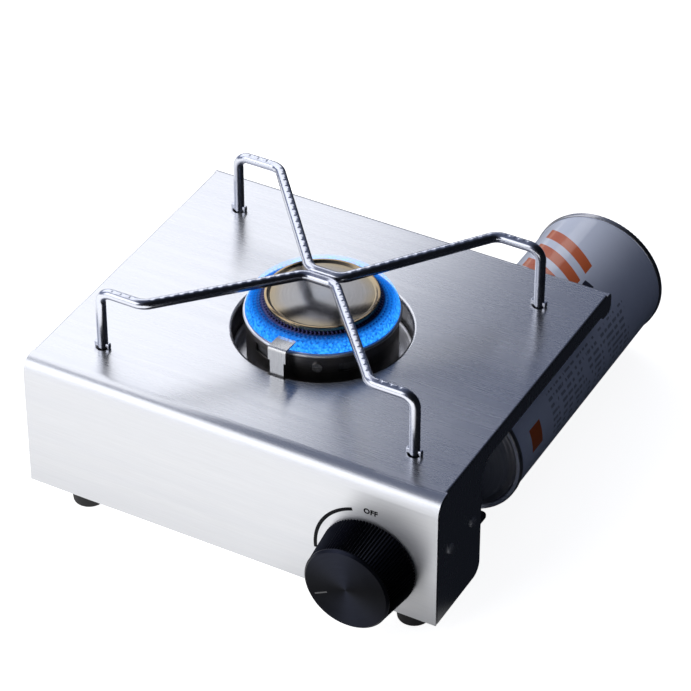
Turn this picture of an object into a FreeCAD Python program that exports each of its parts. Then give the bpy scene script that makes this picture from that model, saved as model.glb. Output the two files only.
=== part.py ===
import FreeCAD, Part
import math
import os

# Butane cassette stove with its canister attached, in millimetres, +Z up.
# The sizes below are measured from the middle of the casing's width (x), from its front face (y)
# and from the lower edge of the front face (z). The finished pieces are moved so that the origin
# is the centre of the stove's footprint, on the surface that it stands on.

# Casing
CASE_WIDTH = 212.0
CASE_DEPTH = 175.0
CASE_HEIGHT = 70.0
SHEET = 1.0
FRONT_BEND = 8.0
EDGE_BEND = 1.4
REAR_BEND = 3.0
REAR_LIP = 11.0
RELIEF_GAP = 0.6
LEG_DEPTH = 42.5
LEG_CORNER = 6.0
STRIP_HEIGHT = 8.5
STRIP_CORNER = 10.0
TAB_LENGTH = 8.0
TAB_CORNER = 2.0
PAN_FLANGE = 14.0
PAN_SHELF_X = 92.2
PAN_SHELF_Y = 79.0
VENT_COUNT = 6
VENT_WIDTH = 3.0
VENT_LENGTH = 26.0
VENT_PITCH = 9.0
DIVIDER_FOOT = 12.0
BULKHEAD_SHEET = 1.2
BULKHEAD_FOOT = 11.0
BULKHEAD_CORNER = 4.0

# Rivets: y and z on the right leg, height above the floor at the base, places along the rear lip
RIVET_RADIUS = 1.6
RIVET_HEAD_RADIUS = 2.6
RIVET_HEAD_RISE = 1.0
RIVET_TAIL = 2.0
LEG_RIVET_LOW = (12.7, 35.8)
LEG_RIVET_HIGH = (34.2, 34.9)
BASE_RIVET_Z = 8.0
BASE_RIVET_INSET = 30.0
REAR_RIVET_DROP = 7.0
REAR_RIVET_INSET = 14.0

# Rubber feet
FOOT_HEIGHT = 7.0
FOOT_RADIUS = 8.3
FOOT_BASE_RADIUS = 7.5
FOOT_LEFT_INSET = 26.5
FOOT_RIGHT_INSET = 15.2
FOOT_INSET_Y = 8.6
FOOT_BAY_INSET = 10.0
FOOT_RECESS_RADIUS = 3.6
FOOT_RECESS_DEPTH = 4.0
FOOT_SCREW_RADIUS = 1.5
FOOT_SCREW_HEAD = 3.0
FOOT_SCREW_HEAD_RISE = 1.8
FOOT_NUT_RADIUS = 3.2
FOOT_NUT_HEIGHT = 2.2
SCREW_CLEARANCE = 0.1

# Burner, centred on one upright axis
BURNER_X = 1.0
BURNER_Y = 87.4
HOLE_RADIUS = 41.5
LIP_BEND = 1.6
LIP_DEPTH = 3.0
BOWL_SHEET = 0.8
BOWL_GAP = 0.3
BOWL_DEPTH = 15.0
BOWL_FLANGE = 5.5
BOWL_CORNER = 2.5
BOWL_THROAT = 29.0
SKIRT_RADIUS = 35.2
SKIRT_RISE = 8.6
SKIRT_SLOT_WIDTH = 9.0
SKIRT_SLOT_HEIGHT = 4.8
SKIRT_SLOT_Z = 2.2
SKIRT_SLOT_ANGLE = -41.5
SKIRT_SLOT_COUNT = 5
RIM_RADIUS = 36.5
RIM_INNER = 32.4
RIM_HEIGHT = 1.8
RIM_ROUND = 0.8
RING_SHEET = 0.9
RING_FOOT_RADIUS = 35.4
RING_TOP_RADIUS = 26.2
RING_HEIGHT = 6.6
PORT_RADIUS = 0.6
PORT_ROWS = 3
PORTS_PER_ROW = 44
CAP_RADIUS = 26.7
CAP_SHEET = 1.0
CAP_RIM_RISE = 0.9
CAP_RIM_WIDTH = 1.2
CAP_SPIGOT_RADIUS = 24.4
CAP_SPIGOT_DEPTH = 1.6
HEAD_WALL = 1.4
HEAD_RADIUS = 33.6
HEAD_WAIST = 28.2
NECK_RADIUS = 10.0
NECK_WALL = 1.5
NECK_LENGTH = 6.0
NECK_INSERT = 4.0
TUBE_DROP = 34.0
MIX_RADIUS = 9.0
MIX_WALL = 1.4
SOCKET_WALL = 1.5
BELL_RADIUS = 11.5
BELL_LENGTH = 4.0
FIT_GAP = 0.05
SKIRT_SCREW_ANGLE = -65.0
SKIRT_SCREW_COUNT = 3
SKIRT_SCREW_Z = 3.4
SKIRT_SCREW_RADIUS = 1.3
SKIRT_SCREW_HEAD = 2.3
SKIRT_SCREW_HEAD_RISE = 1.1
SLOT_WIDTH = 0.7
SLOT_DEPTH = 0.5

# Gas jet and its feed tube
JET_Y = 33.0
JET_HOLDER_RADIUS = 6.0
JET_HOLDER_FRONT = 6.0
JET_RADIUS = 3.0
JET_FLANGE_RADIUS = 5.0
JET_FLANGE = 1.8
JET_BORE = 0.4
JET_TIP_RADIUS = 1.6
JET_REACH = 1.5
JET_BOSS_REACH = 8.0
JET_BOSS_RADIUS = 4.0
BRACKET_SHEET = 1.2
BRACKET_WIDTH = 20.0
BRACKET_FOOT = 10.0
GAS_TUBE_RADIUS = 2.6
GAS_TUBE_BORE = 1.7
GAS_TUBE_BEND = 10.0
GAS_TUBE_END_RUN = 15.0
TUBE_NUT_RADIUS = 4.6
TUBE_NUT_LENGTH = 7.0

# Spark igniter
STRAP_SHEET = 0.8
STRAP_NECK_WIDTH = 7.0
STRAP_HEAD_WIDTH = 9.0
STRAP_NECK_RISE = 8.0
STRAP_RISE = 15.2
STRAP_FALL = 0.8
STRAP_REACH = 10.0
STRAP_BEND = 1.6
STRAP_DROP = 9.0
STRAP_NOTCH_GAP = 1.1
STRAP_RIVET_RADIUS = 1.0
STRAP_RIVET_HEAD = 1.8
STRAP_RIVET_RISE = 0.6
STRAP_SEAT_GAP = 0.1
CERAMIC_RADIUS = 2.0
CERAMIC_SHOULDER = 2.4
CERAMIC_SHOULDER_RISE = 1.2
CERAMIC_RISE = 5.0
CERAMIC_DROP = 4.0
CERAMIC_INSET = 4.5
ELECTRODE_OFFSET = 1.5
PIN_RADIUS = 0.6
PIN_RISE = 10.0
PIN_DROP = 2.5
IGNITER_WIDTH = 9.0
IGNITER_LENGTH = 28.0
IGNITER_LEFT = 28.0
IGNITER_Y = 8.7
IGNITER_SPOUT_RADIUS = 2.2
IGNITER_SPOUT = 4.0
PLUNGER_RADIUS = 2.0
PLUNGER_TIP_RADIUS = 1.5
PLUNGER_TAIL = 7.0
PLUNGER_GAP = 0.4
LEAD_RADIUS = 1.2
LEAD_BEND = 6.0
LEAD_LEFT_X = -16.0
LEAD_FLOOR_GAP = 0.2
LEAD_CLIP_WIDTH = 5.0
LEAD_CLIP_WALL = 1.2
LEAD_CLIP_PLACES = (0.35, 0.75)

# Knob and spindle
KNOB_X = 73.0
KNOB_Z = 24.6
KNOB_RADIUS = 21.0
KNOB_REAR_RADIUS = 23.2
KNOB_LENGTH = 21.0
KNOB_GAP = 1.5
KNOB_CHAMFER = 1.0
KNOB_FACE_BAND = 1.6
KNURL_COUNT = 90
KNURL_DEPTH = 0.45
KNOB_SOCKET_DEPTH = 11.0
POINTER_INNER = 10.5
POINTER_OUTER = 17.3
POINTER_WIDTH = 0.7
POINTER_DEPTH = 0.4
POINTER_ANGLE = 208.0
SPINDLE_RADIUS = 3.0
SPINDLE_FLAT = 0.8
SPINDLE_HOLE_GAP = 1.5
KNOB_TURN = 118.0
KNOB_PUSH = 1.2
CAM_LOW = 4.5
CAM_HIGH = 8.5
CAM_THICKNESS = 5.8
CAM_FRONT = 6.0
COLLAR_RADIUS = 6.4
COLLAR_LENGTH = 3.0
SPRING_LENGTH = 9.2
SPRING_RADIUS = 5.6
SPRING_WIRE = 0.8
GLAND_NUT_RADIUS = 7.4
GLAND_NUT_LENGTH = 2.0
GLAND_SPIGOT = 3.0
GLAND_RADIUS = 6.0
SEAL_LENGTH = 1.8
PLUG_LENGTH = 5.4
PLUG_PORT_RADIUS = 1.2
PLUG_END_GAP = 0.3

# Regulator
REG_LEFT = 56.0
REG_RIGHT = 90.0
REG_BOTTOM = 10.0
REG_TOP = 61.5
REG_DEPTH = 15.0
REG_CORNER = 3.0
PORT_BORE = 1.5
OUTLET_DROP = 2.5
DIAPHRAGM_Z = 47.0
CHAMBER_RADIUS = 9.0
CHAMBER_DEPTH = 4.0
DIAPHRAGM_RADIUS = 11.0
DIAPHRAGM_SHEET = 0.8
COVER_FLANGE_RADIUS = 14.0
COVER_FLANGE = 3.0
COVER_DOME_RADIUS = 9.8
COVER_HEIGHT = 10.0
COVER_WALL = 1.2
PRESSURE_SPRING_RADIUS = 6.5
REG_SCREW_CIRCLE = 12.4
REG_SCREW_RADIUS = 1.0
REG_SCREW_HEAD = 1.3
REG_SCREW_RISE = 1.2
REG_SCREW_DEPTH = 6.0
REG_SCREW_COUNT = 3
MOUNT_SCREW_LOW = (60.0, 14.0)
MOUNT_SCREW_HIGH = (86.0, 57.0)
MOUNT_SCREW_RADIUS = 1.5
MOUNT_SCREW_HEAD = 2.8

# Canister, on an axis that runs front to back
CAN_X = 71.9
CAN_Z = 28.6
CAN_RADIUS = 33.9
CAN_SHELL_RADIUS = 33.2
CAN_SHEET = 0.35
CHIME_HEIGHT = 3.0
CHIME_WIDTH = 2.3
CAN_LENGTH = 155.0
BAY_CLEARANCE = 2.0
SHOULDER_RADIUS = 30.0
SHOULDER_STEP = 27.2
SHOULDER_RISE = 3.5
DOME_THICKNESS = 0.6
DOME_HEIGHT = 14.5
DOME_TOP_RADIUS = 17.5
BASE_HOLLOW = 8.0
CUP_RADIUS = 15.0
CUP_WALL = 0.8
CUP_DEPTH = 3.3
COLLAR_FLANGE_RADIUS = 21.0
COLLAR_FLANGE = 0.8
CRIMP_HEIGHT = 1.2
NOTCH_WIDTH = 4.0
NOTCH_DEPTH = 3.0
STEM_RADIUS = 1.9
STEM_BORE = 0.9
STEM_RISE = 3.4
STEM_TRAVEL = 1.5
STEM_SHOULDER = 3.4
STEM_SHOULDER_HEIGHT = 1.2
HOUSING_RADIUS = 5.5
HOUSING_WALL = 0.9
HOUSING_LENGTH = 12.0
VALVE_SPRING_WALL = 0.6

# Canister coupling, built out from the bulkhead
COUPLING_FLANGE_RADIUS = 14.0
COUPLING_FLANGE = 2.5
COUPLING_STEM_RADIUS = 9.0
COUPLING_PLATE_RADIUS = 22.0
COUPLING_PLATE = 2.0
COUPLING_NOSE_RADIUS = 7.0
COUPLING_SCREW_CIRCLE = 11.6
COUPLING_SCREW_HEAD = 1.9
COUPLING_SCREW_DEPTH = 5.0
MAGNET_INNER = 12.0
MAGNET_OUTER = 18.0
MAGNET_LENGTH = 7.0
GUIDE_PIN_RADIUS = 1.3
GUIDE_PIN_CIRCLE = 19.8
GUIDE_PIN_REACH = 2.5
SEAL_RING_RADIUS = 4.5
SEAL_RING_HOLE = 1.5
SEAL_RING_THICKNESS = 2.6
SEAT_GAP = 0.3

# Pot support, bent from two wires
WIRE_RADIUS = 2.5
SUPPORT_SPAN_X = 160.0
SUPPORT_SPAN_Y = 123.4
SUPPORT_RISE = 31.5
SUPPORT_SHOULDER = 22.5
SUPPORT_CENTRE = 15.8
SUPPORT_BEND = 6.0
SUPPORT_PLAN_BEND = 8.0
SUPPORT_DIP = 3.6
SUPPORT_WIRE_GAP = 0.04
SUPPORT_LEG_DROP = 7.0
SUPPORT_HOLE_GAP = 0.8
SUPPORT_EAR_WIDTH = 7.8
SUPPORT_EAR_DEPTH = 2.2
SUPPORT_EAR_HEIGHT = 2.8
SUPPORT_EAR_CHAMFER = 0.8
WELD_LENGTH = 12.0
WELD_DEPTH = 1.2

# Shorter edges than this are left out
LEAST_EDGE = 0.001

# Places worked out from the sizes above
X_AXIS = FreeCAD.Vector(1, 0, 0)
Y_AXIS = FreeCAD.Vector(0, 1, 0)
Z_AXIS = FreeCAD.Vector(0, 0, 1)
HALF_WIDTH = CASE_WIDTH / 2
INNER_X = HALF_WIDTH - SHEET
UNDER_TOP = CASE_HEIGHT - SHEET
FLOOR_TOP = SHEET
REAR_INNER = CASE_DEPTH - SHEET
BAY_X = CAN_X - CAN_RADIUS - BAY_CLEARANCE
DIVIDER_X = BAY_X - SHEET
BULKHEAD_REAR = LEG_DEPTH - SEAT_GAP
BULKHEAD_FRONT = BULKHEAD_REAR - BULKHEAD_SHEET
REG_FRONT = BULKHEAD_FRONT - REG_DEPTH
BOWL_RADIUS = HOLE_RADIUS + SHEET + BOWL_GAP
BOWL_FLOOR = CASE_HEIGHT - BOWL_DEPTH
RIM_Z = CASE_HEIGHT + SKIRT_RISE
RING_Z = RIM_Z + RIM_HEIGHT
CAP_Z = RING_Z + RING_HEIGHT
MIX_Z = CASE_HEIGHT - TUBE_DROP
NECK_TOP = BOWL_FLOOR - NECK_LENGTH
SOCKET_TOP = NECK_TOP
NECK_BOTTOM = SOCKET_TOP - NECK_INSERT
BRACKET_Y = JET_Y + JET_HOLDER_FRONT - 2.0 * FIT_GAP
JET_FLANGE_Y = BRACKET_Y + BRACKET_SHEET
MIX_FRONT = JET_FLANGE_Y + JET_FLANGE + 2.0 * JET_REACH
JET_TIP_Y = MIX_FRONT + JET_REACH
OUTLET_Z = KNOB_Z - OUTLET_DROP
KNOB_REAR = -KNOB_GAP
KNOB_FACE = KNOB_REAR - KNOB_LENGTH
SPINDLE_FRONT = KNOB_REAR - KNOB_SOCKET_DEPTH
CAM_REAR = CAM_FRONT + CAM_THICKNESS
COLLAR_REAR = CAM_REAR + COLLAR_LENGTH
GLAND_REAR = REG_FRONT + GLAND_SPIGOT
SEAL_REAR = GLAND_REAR + SEAL_LENGTH
PLUG_FRONT = SEAL_REAR + PLUG_END_GAP
PLUG_REAR = PLUG_FRONT + PLUG_LENGTH
VALVE_BORE_END = PLUG_REAR + KNOB_PUSH + PLUG_END_GAP
GLAND_FRONT = REG_FRONT - GLAND_NUT_LENGTH
IGNITER_RIGHT = IGNITER_LEFT + IGNITER_LENGTH
PLUNGER_TIP_X = KNOB_X - CAM_HIGH - PLUNGER_GAP
PLUNGER_TRAVEL = CAM_HIGH - CAM_LOW
ELECTRODE_X = BURNER_X - ELECTRODE_OFFSET
ELECTRODE_Y = BURNER_Y - BOWL_RADIUS + CERAMIC_INSET
LEAD_Z = FLOOR_TOP + LEAD_FLOOR_GAP + LEAD_RADIUS
LEAD_TOP_Z = BOWL_FLOOR - BOWL_SHEET - CERAMIC_DROP - PIN_DROP
COUPLING_NECK_REAR = BULKHEAD_REAR + COUPLING_FLANGE
MAGNET_REAR_Y = 64.0
PLATE_REAR = MAGNET_REAR_Y - MAGNET_LENGTH
PLATE_FRONT = PLATE_REAR - COUPLING_PLATE
COLLAR_Y = MAGNET_REAR_Y + SEAT_GAP
CUP_Y = COLLAR_Y + CUP_DEPTH
CRIMP_REAR = CUP_Y + CUP_WALL
STEM_TIP_Y = COLLAR_Y - STEM_RISE
SEAL_RING_REAR = STEM_TIP_Y - SEAT_GAP
SEAL_RING_FRONT = SEAL_RING_REAR - SEAL_RING_THICKNESS
CAN_FRONT = CRIMP_REAR + DOME_HEIGHT
CAN_REAR = CAN_FRONT + CAN_LENGTH
LEG_X = SUPPORT_SPAN_X / 2
LEG_Y = SUPPORT_SPAN_Y / 2
SUPPORT_Z = CASE_HEIGHT + SUPPORT_RISE
SUPPORT_CENTRE_Z = SUPPORT_Z - SUPPORT_DIP
WIRE_OFFSET = WIRE_RADIUS + SUPPORT_WIRE_GAP / 2
FRAME_SHIFT = FreeCAD.Vector(0, -(CAN_REAR + KNOB_FACE) / 2, FOOT_HEIGHT)


def vector(x, y, z):
    return FreeCAD.Vector(x, y, z)


def block(x_range, y_range, z_range):
    """A box between two values on each axis."""
    corner = vector(x_range[0], y_range[0], z_range[0])
    spans = [high - low for low, high in (x_range, y_range, z_range)]
    return Part.makeBox(spans[0], spans[1], spans[2], corner)


def rod(radius, length, start, axis):
    return Part.makeCylinder(radius, length, start, axis)


def tube(outer, inner, length, start, axis):
    return rod(outer, length, start, axis).cut(rod(inner, length, start, axis))


def hexagon(radius, length, start, axis):
    """A hexagonal prism whose corners lie on the radius."""
    corners = [vector(radius * math.cos(math.radians(60 * k)), radius * math.sin(math.radians(60 * k)), 0)
               for k in range(7)]
    prism = Part.Face(Part.makePolygon(corners)).extrude(Z_AXIS * length)
    return stood_on(prism, start, axis)


def stood_on(shape, start, axis):
    """The shape moved from the origin and +Z to a start point and an axis."""
    placed = shape.copy()
    placed.Placement = FreeCAD.Placement(start, FreeCAD.Rotation(Z_AXIS, axis)).multiply(placed.Placement)
    return placed


def rounded_wire(points, radii, closed):
    """A wire through the points, with a tangent arc in place of each corner whose radius isn't zero."""
    count = len(points)
    edges = []
    cursor = None
    first_start = None
    for index, (corner, radius) in enumerate(zip(points, radii)):
        is_end = not closed and index in (0, count - 1)
        start = finish = corner
        arc = None
        if radius > 0 and not is_end:
            back = (points[index - 1] - corner).normalize()
            ahead = (points[(index + 1) % count] - corner).normalize()
            half_angle = back.getAngle(ahead) / 2
            reach = radius / math.tan(half_angle)
            middle_line = (back + ahead).normalize()
            centre = corner + middle_line * (radius / math.sin(half_angle))
            start = corner + back * reach
            finish = corner + ahead * reach
            arc = Part.Arc(start, centre - middle_line * radius, finish)
        if cursor is None:
            first_start = start
        elif cursor.distanceToPoint(start) > LEAST_EDGE:
            edges.append(Part.LineSegment(cursor, start).toShape())
        if arc is not None:
            edges.append(arc.toShape())
        cursor = finish
    if closed and cursor.distanceToPoint(first_start) > LEAST_EDGE:
        edges.append(Part.LineSegment(cursor, first_start).toShape())
    return Part.Wire(edges)


def outline_face(corners, lift):
    """A flat face from (u, v, radius) corners, lifted into space by a function of u and v."""
    points = [lift(u, v) for u, v, _ in corners]
    return Part.Face(rounded_wire(points, [radius for _, _, radius in corners], True))


def sheet_across(corners, x_range):
    """A (y, z, radius) outline run from one x to another."""
    face = outline_face(corners, lambda y, z: vector(x_range[0], y, z))
    return face.extrude(X_AXIS * (x_range[1] - x_range[0]))


def turned(corners, start, axis):
    """A (radius, height, corner radius) outline turned round an axis."""
    face = outline_face(corners, lambda radius, height: vector(radius, 0, height))
    return stood_on(face.revolve(vector(0, 0, 0), Z_AXIS, 360), start, axis)


def swept_rod(points, bend, radius):
    """A round bar along straight runs joined by arcs of one radius."""
    path = rounded_wire(points, [bend] * len(points), False)
    section = Part.Wire(Part.makeCircle(radius, points[0], points[1] - points[0]))
    return path.makePipeShell([section], True, False)


def joined(shapes):
    first, rest = shapes[0], shapes[1:]
    return first.fuse(rest).removeSplitter() if rest else first


def on_burner(z):
    return vector(BURNER_X, BURNER_Y, z)


def on_spindle(y):
    return vector(KNOB_X, y, KNOB_Z)


def on_can(y):
    return vector(CAN_X, y, CAN_Z)


def round_burner(angle, radius, z):
    """A point at an angle and a distance from the burner's axis."""
    turn = math.radians(angle)
    return vector(BURNER_X + radius * math.cos(turn), BURNER_Y + radius * math.sin(turn), z)


def bowl_clearance():
    """The space under the top that the drip bowl and its flange need."""
    gap = BAY_CLEARANCE
    flange = rod(BOWL_RADIUS + BOWL_FLANGE + gap, CASE_HEIGHT, on_burner(UNDER_TOP - BOWL_SHEET - gap), Z_AXIS)
    wall = rod(BOWL_RADIUS + BOWL_SHEET + gap, CASE_HEIGHT, on_burner(BOWL_FLOOR - BOWL_SHEET - gap), Z_AXIS)
    return flange.fuse(wall)


def foot_places():
    """The middles of the four feet, on the underside of the floor."""
    rear_y = CASE_DEPTH - FOOT_INSET_Y - SHEET
    foot_left_x = HALF_WIDTH - FOOT_LEFT_INSET
    return [vector(-foot_left_x, FOOT_INSET_Y, 0), vector(HALF_WIDTH - FOOT_RIGHT_INSET, FOOT_INSET_Y, 0),
            vector(-foot_left_x, rear_y, 0), vector(BAY_X - FOOT_BAY_INSET, rear_y, 0)]


def leg_rivet_places():
    """Rivets that hold the right leg to the bulkhead, on the leg's outer face."""
    return [vector(HALF_WIDTH, y, z) for y, z in (LEG_RIVET_LOW, LEG_RIVET_HIGH)]


def base_rivet_places():
    """Rivets that hold the left side to the floor's flange, on the side's outer face."""
    return [vector(-HALF_WIDTH, y, BASE_RIVET_Z)
            for y in (BASE_RIVET_INSET, CASE_DEPTH - BASE_RIVET_INSET)]


def rear_rivet_places():
    """Rivets through the rear lip and the rear wall, on the lip's outer face."""
    z = CASE_HEIGHT - REAR_RIVET_DROP
    left = -HALF_WIDTH + REAR_RIVET_INSET
    right = DIVIDER_X - REAR_RIVET_INSET
    return [vector(x, CASE_DEPTH, z) for x in (left, (left + right) / 2, right)]


def rivet_holes():
    reach = 4.0 * RIVET_TAIL
    holes = [rod(RIVET_RADIUS, reach, place - X_AXIS * (reach - SHEET), X_AXIS) for place in leg_rivet_places()]
    holes += [rod(RIVET_RADIUS, reach, place - X_AXIS * SHEET, X_AXIS) for place in base_rivet_places()]
    holes += [rod(RIVET_RADIUS, reach, place - Y_AXIS * (reach - SHEET), Y_AXIS)
              for place in rear_rivet_places()]
    return holes


def support_holes():
    reach = 2.0 * SHEET
    return [rod(WIRE_RADIUS + SUPPORT_HOLE_GAP, reach,
                vector(BURNER_X + side * LEG_X, BURNER_Y + end * LEG_Y, UNDER_TOP - SHEET / 2), Z_AXIS)
            for side in (-1, 1) for end in (-1, 1)]


def side_opening():
    """What the right side leaves open for the canister, behind the front leg and under the strip."""
    strip_z = CASE_HEIGHT - STRIP_HEIGHT
    lip_z = CASE_HEIGHT - REAR_LIP
    below = -CASE_HEIGHT
    behind = 2.0 * CASE_DEPTH
    tab_y = CASE_DEPTH - TAB_LENGTH
    slope = STRIP_HEIGHT - REAR_LIP
    corners = [
        (LEG_DEPTH - 2.0 * LEG_CORNER, below, 0),
        (LEG_DEPTH - 2.0 * LEG_CORNER, 0, 0),
        (LEG_DEPTH, 0, LEG_CORNER),
        (LEG_DEPTH, strip_z, STRIP_CORNER),
        (tab_y + slope, strip_z, 0),
        (tab_y, lip_z, 0),
        (CASE_DEPTH - TAB_CORNER, lip_z, 0),
        (CASE_DEPTH, lip_z + TAB_CORNER, 0),
        (behind, lip_z + TAB_CORNER, 0),
        (behind, below, 0),
    ]
    return sheet_across(corners, (HALF_WIDTH - EDGE_BEND - SHEET, HALF_WIDTH + SHEET))


def burner_lip():
    """The edge of the burner hole, bent down into the bowl."""
    outer = HOLE_RADIUS + LIP_BEND
    corners = [
        (outer, CASE_HEIGHT, 0),
        (HOLE_RADIUS, CASE_HEIGHT, LIP_BEND - SHEET / 10),
        (HOLE_RADIUS, CASE_HEIGHT - LIP_DEPTH, 0),
        (HOLE_RADIUS + SHEET, CASE_HEIGHT - LIP_DEPTH, 0),
        (HOLE_RADIUS + SHEET, UNDER_TOP, (LIP_BEND - SHEET) / 2),
        (outer, UNDER_TOP, 0),
    ]
    return turned(corners, on_burner(0), Z_AXIS)


def strap_front_y():
    """The front face of the igniter strap, just inside the bowl's wall."""
    half = STRAP_NECK_WIDTH / 2
    return BURNER_Y - math.sqrt(BOWL_RADIUS ** 2 - half ** 2) + STRAP_SEAT_GAP


def strap_notch():
    """The gap in the hole's edge that the igniter strap comes up through."""
    half = STRAP_NECK_WIDTH / 2 + STRAP_NOTCH_GAP
    front = strap_front_y() - STRAP_NOTCH_GAP
    return block((BURNER_X - half, BURNER_X + half), (front, BURNER_Y - HOLE_RADIUS + SHEET),
                 (CASE_HEIGHT - LIP_DEPTH - SHEET, CASE_HEIGHT + SHEET))


def top_cover():
    """Top, front, left side, right leg, right strip and rear lip, folded from one sheet."""
    inner_bend = max(EDGE_BEND - SHEET, SHEET / 10)
    section = outline_face(
        [(-HALF_WIDTH, 0, 0), (-HALF_WIDTH, CASE_HEIGHT, EDGE_BEND), (HALF_WIDTH, CASE_HEIGHT, EDGE_BEND),
         (HALF_WIDTH, 0, 0), (INNER_X, 0, 0), (INNER_X, UNDER_TOP, inner_bend),
         (-INNER_X, UNDER_TOP, inner_bend), (-INNER_X, 0, 0)],
        lambda x, z: vector(x, FRONT_BEND, z))
    middle = section.extrude(Y_AXIS * (CASE_DEPTH - REAR_BEND - FRONT_BEND))
    front = sheet_across(
        [(0, 0, 0), (0, CASE_HEIGHT, FRONT_BEND), (FRONT_BEND + SHEET, CASE_HEIGHT, 0),
         (FRONT_BEND + SHEET, UNDER_TOP, 0), (SHEET, UNDER_TOP, FRONT_BEND - SHEET), (SHEET, 0, 0)],
        (-HALF_WIDTH, HALF_WIDTH))
    lip_z = CASE_HEIGHT - REAR_LIP
    bend_y = CASE_DEPTH - REAR_BEND
    rear = sheet_across(
        [(bend_y - SHEET, CASE_HEIGHT, 0), (CASE_DEPTH, CASE_HEIGHT, REAR_BEND), (CASE_DEPTH, lip_z, 0),
         (REAR_INNER, lip_z, 0), (REAR_INNER, UNDER_TOP, REAR_BEND - SHEET), (bend_y - SHEET, UNDER_TOP, 0)],
        (-HALF_WIDTH, HALF_WIDTH))
    can_arch = rod(CAN_RADIUS + BAY_CLEARANCE, REAR_BEND + SHEET, on_can(bend_y), Y_AXIS)
    rear = rear.cut(can_arch)
    relief = SHEET + RELIEF_GAP
    leg_outline = [(relief, 0, 0), (relief, CASE_HEIGHT - relief, FRONT_BEND - relief - SHEET / 10),
                   (FRONT_BEND, CASE_HEIGHT - relief, 0), (FRONT_BEND, 0, 0)]
    tab_outline = [(bend_y, 0, 0), (bend_y, CASE_HEIGHT, 0), (CASE_DEPTH, CASE_HEIGHT, REAR_BEND),
                   (CASE_DEPTH, 0, 0)]
    sides = [sheet_across(shape_outline, x_range)
             for shape_outline in (leg_outline, tab_outline)
             for x_range in ((-HALF_WIDTH, -INNER_X), (INNER_X, HALF_WIDTH))]
    sheet = joined([middle, front, rear] + sides)
    burner_hole = rod(HOLE_RADIUS + LIP_BEND, CASE_HEIGHT, on_burner(UNDER_TOP - SHEET), Z_AXIS)
    spindle_hole = rod(SPINDLE_RADIUS + SPINDLE_HOLE_GAP, 2.0 * SHEET, on_spindle(-SHEET / 2), Y_AXIS)
    sheet = sheet.cut([burner_hole, spindle_hole, side_opening()] + rivet_holes() + support_holes())
    return sheet.fuse(burner_lip()).removeSplitter().cut(strap_notch())


def vent_slots():
    """Slots through the floor under the burner, in one row each side of its middle."""
    slots = []
    for side in (-1, 1):
        middle_y = BURNER_Y + side * (VENT_LENGTH + VENT_PITCH) / 2
        for index in range(VENT_COUNT):
            x = BURNER_X - BOWL_RADIUS + (index - VENT_COUNT / 2) * VENT_PITCH
            slots.append(block((x, x + VENT_WIDTH), (middle_y - VENT_LENGTH / 2, middle_y + VENT_LENGTH / 2),
                               (-SHEET, 2.0 * SHEET)))
    return slots


def base_pan():
    """The floor, the flanges inside the front and left side, and the rear wall."""
    rear = REAR_INNER
    floor_corners = [
        (-INNER_X, SHEET, 0), (INNER_X, SHEET, 0), (INNER_X, LEG_DEPTH - LEG_CORNER, 0),
        (PAN_SHELF_X, LEG_DEPTH - LEG_CORNER, 0), (PAN_SHELF_X, PAN_SHELF_Y, LEG_CORNER / 2),
        (BAY_X, PAN_SHELF_Y, 0), (BAY_X, rear, 0), (-INNER_X, rear, 0),
    ]
    floor = outline_face(floor_corners, lambda x, y: vector(x, y, 0)).extrude(Z_AXIS * SHEET)
    front_flange = block((-INNER_X, INNER_X), (SHEET, 2.0 * SHEET), (0, PAN_FLANGE))
    left_flange = block((-INNER_X, -INNER_X + SHEET), (SHEET, rear), (0, PAN_FLANGE))
    wall_top = CASE_HEIGHT - REAR_BEND - SEAT_GAP
    rear_wall = block((-INNER_X, BAY_X), (rear - SHEET, rear), (0, wall_top))
    screw_holes = [rod(FOOT_SCREW_RADIUS + SCREW_CLEARANCE, 3.0 * SHEET, place - Z_AXIS * SHEET, Z_AXIS)
                   for place in foot_places()]
    pan = joined([floor, front_flange, left_flange, rear_wall])
    return pan.cut(screw_holes + vent_slots() + rivet_holes())


def bay_divider():
    """An upright sheet that keeps the burner's heat from the canister, notched round the bowl."""
    rear = REAR_INNER - SHEET
    upright = block((DIVIDER_X, BAY_X), (BULKHEAD_REAR, rear), (FLOOR_TOP, UNDER_TOP))
    foot = block((BAY_X - DIVIDER_FOOT, BAY_X), (PAN_SHELF_Y, rear - FOOT_INSET_Y - FOOT_RADIUS),
                 (FLOOR_TOP, FLOOR_TOP + SHEET))
    return joined([upright, foot]).cut(bowl_clearance())


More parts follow.
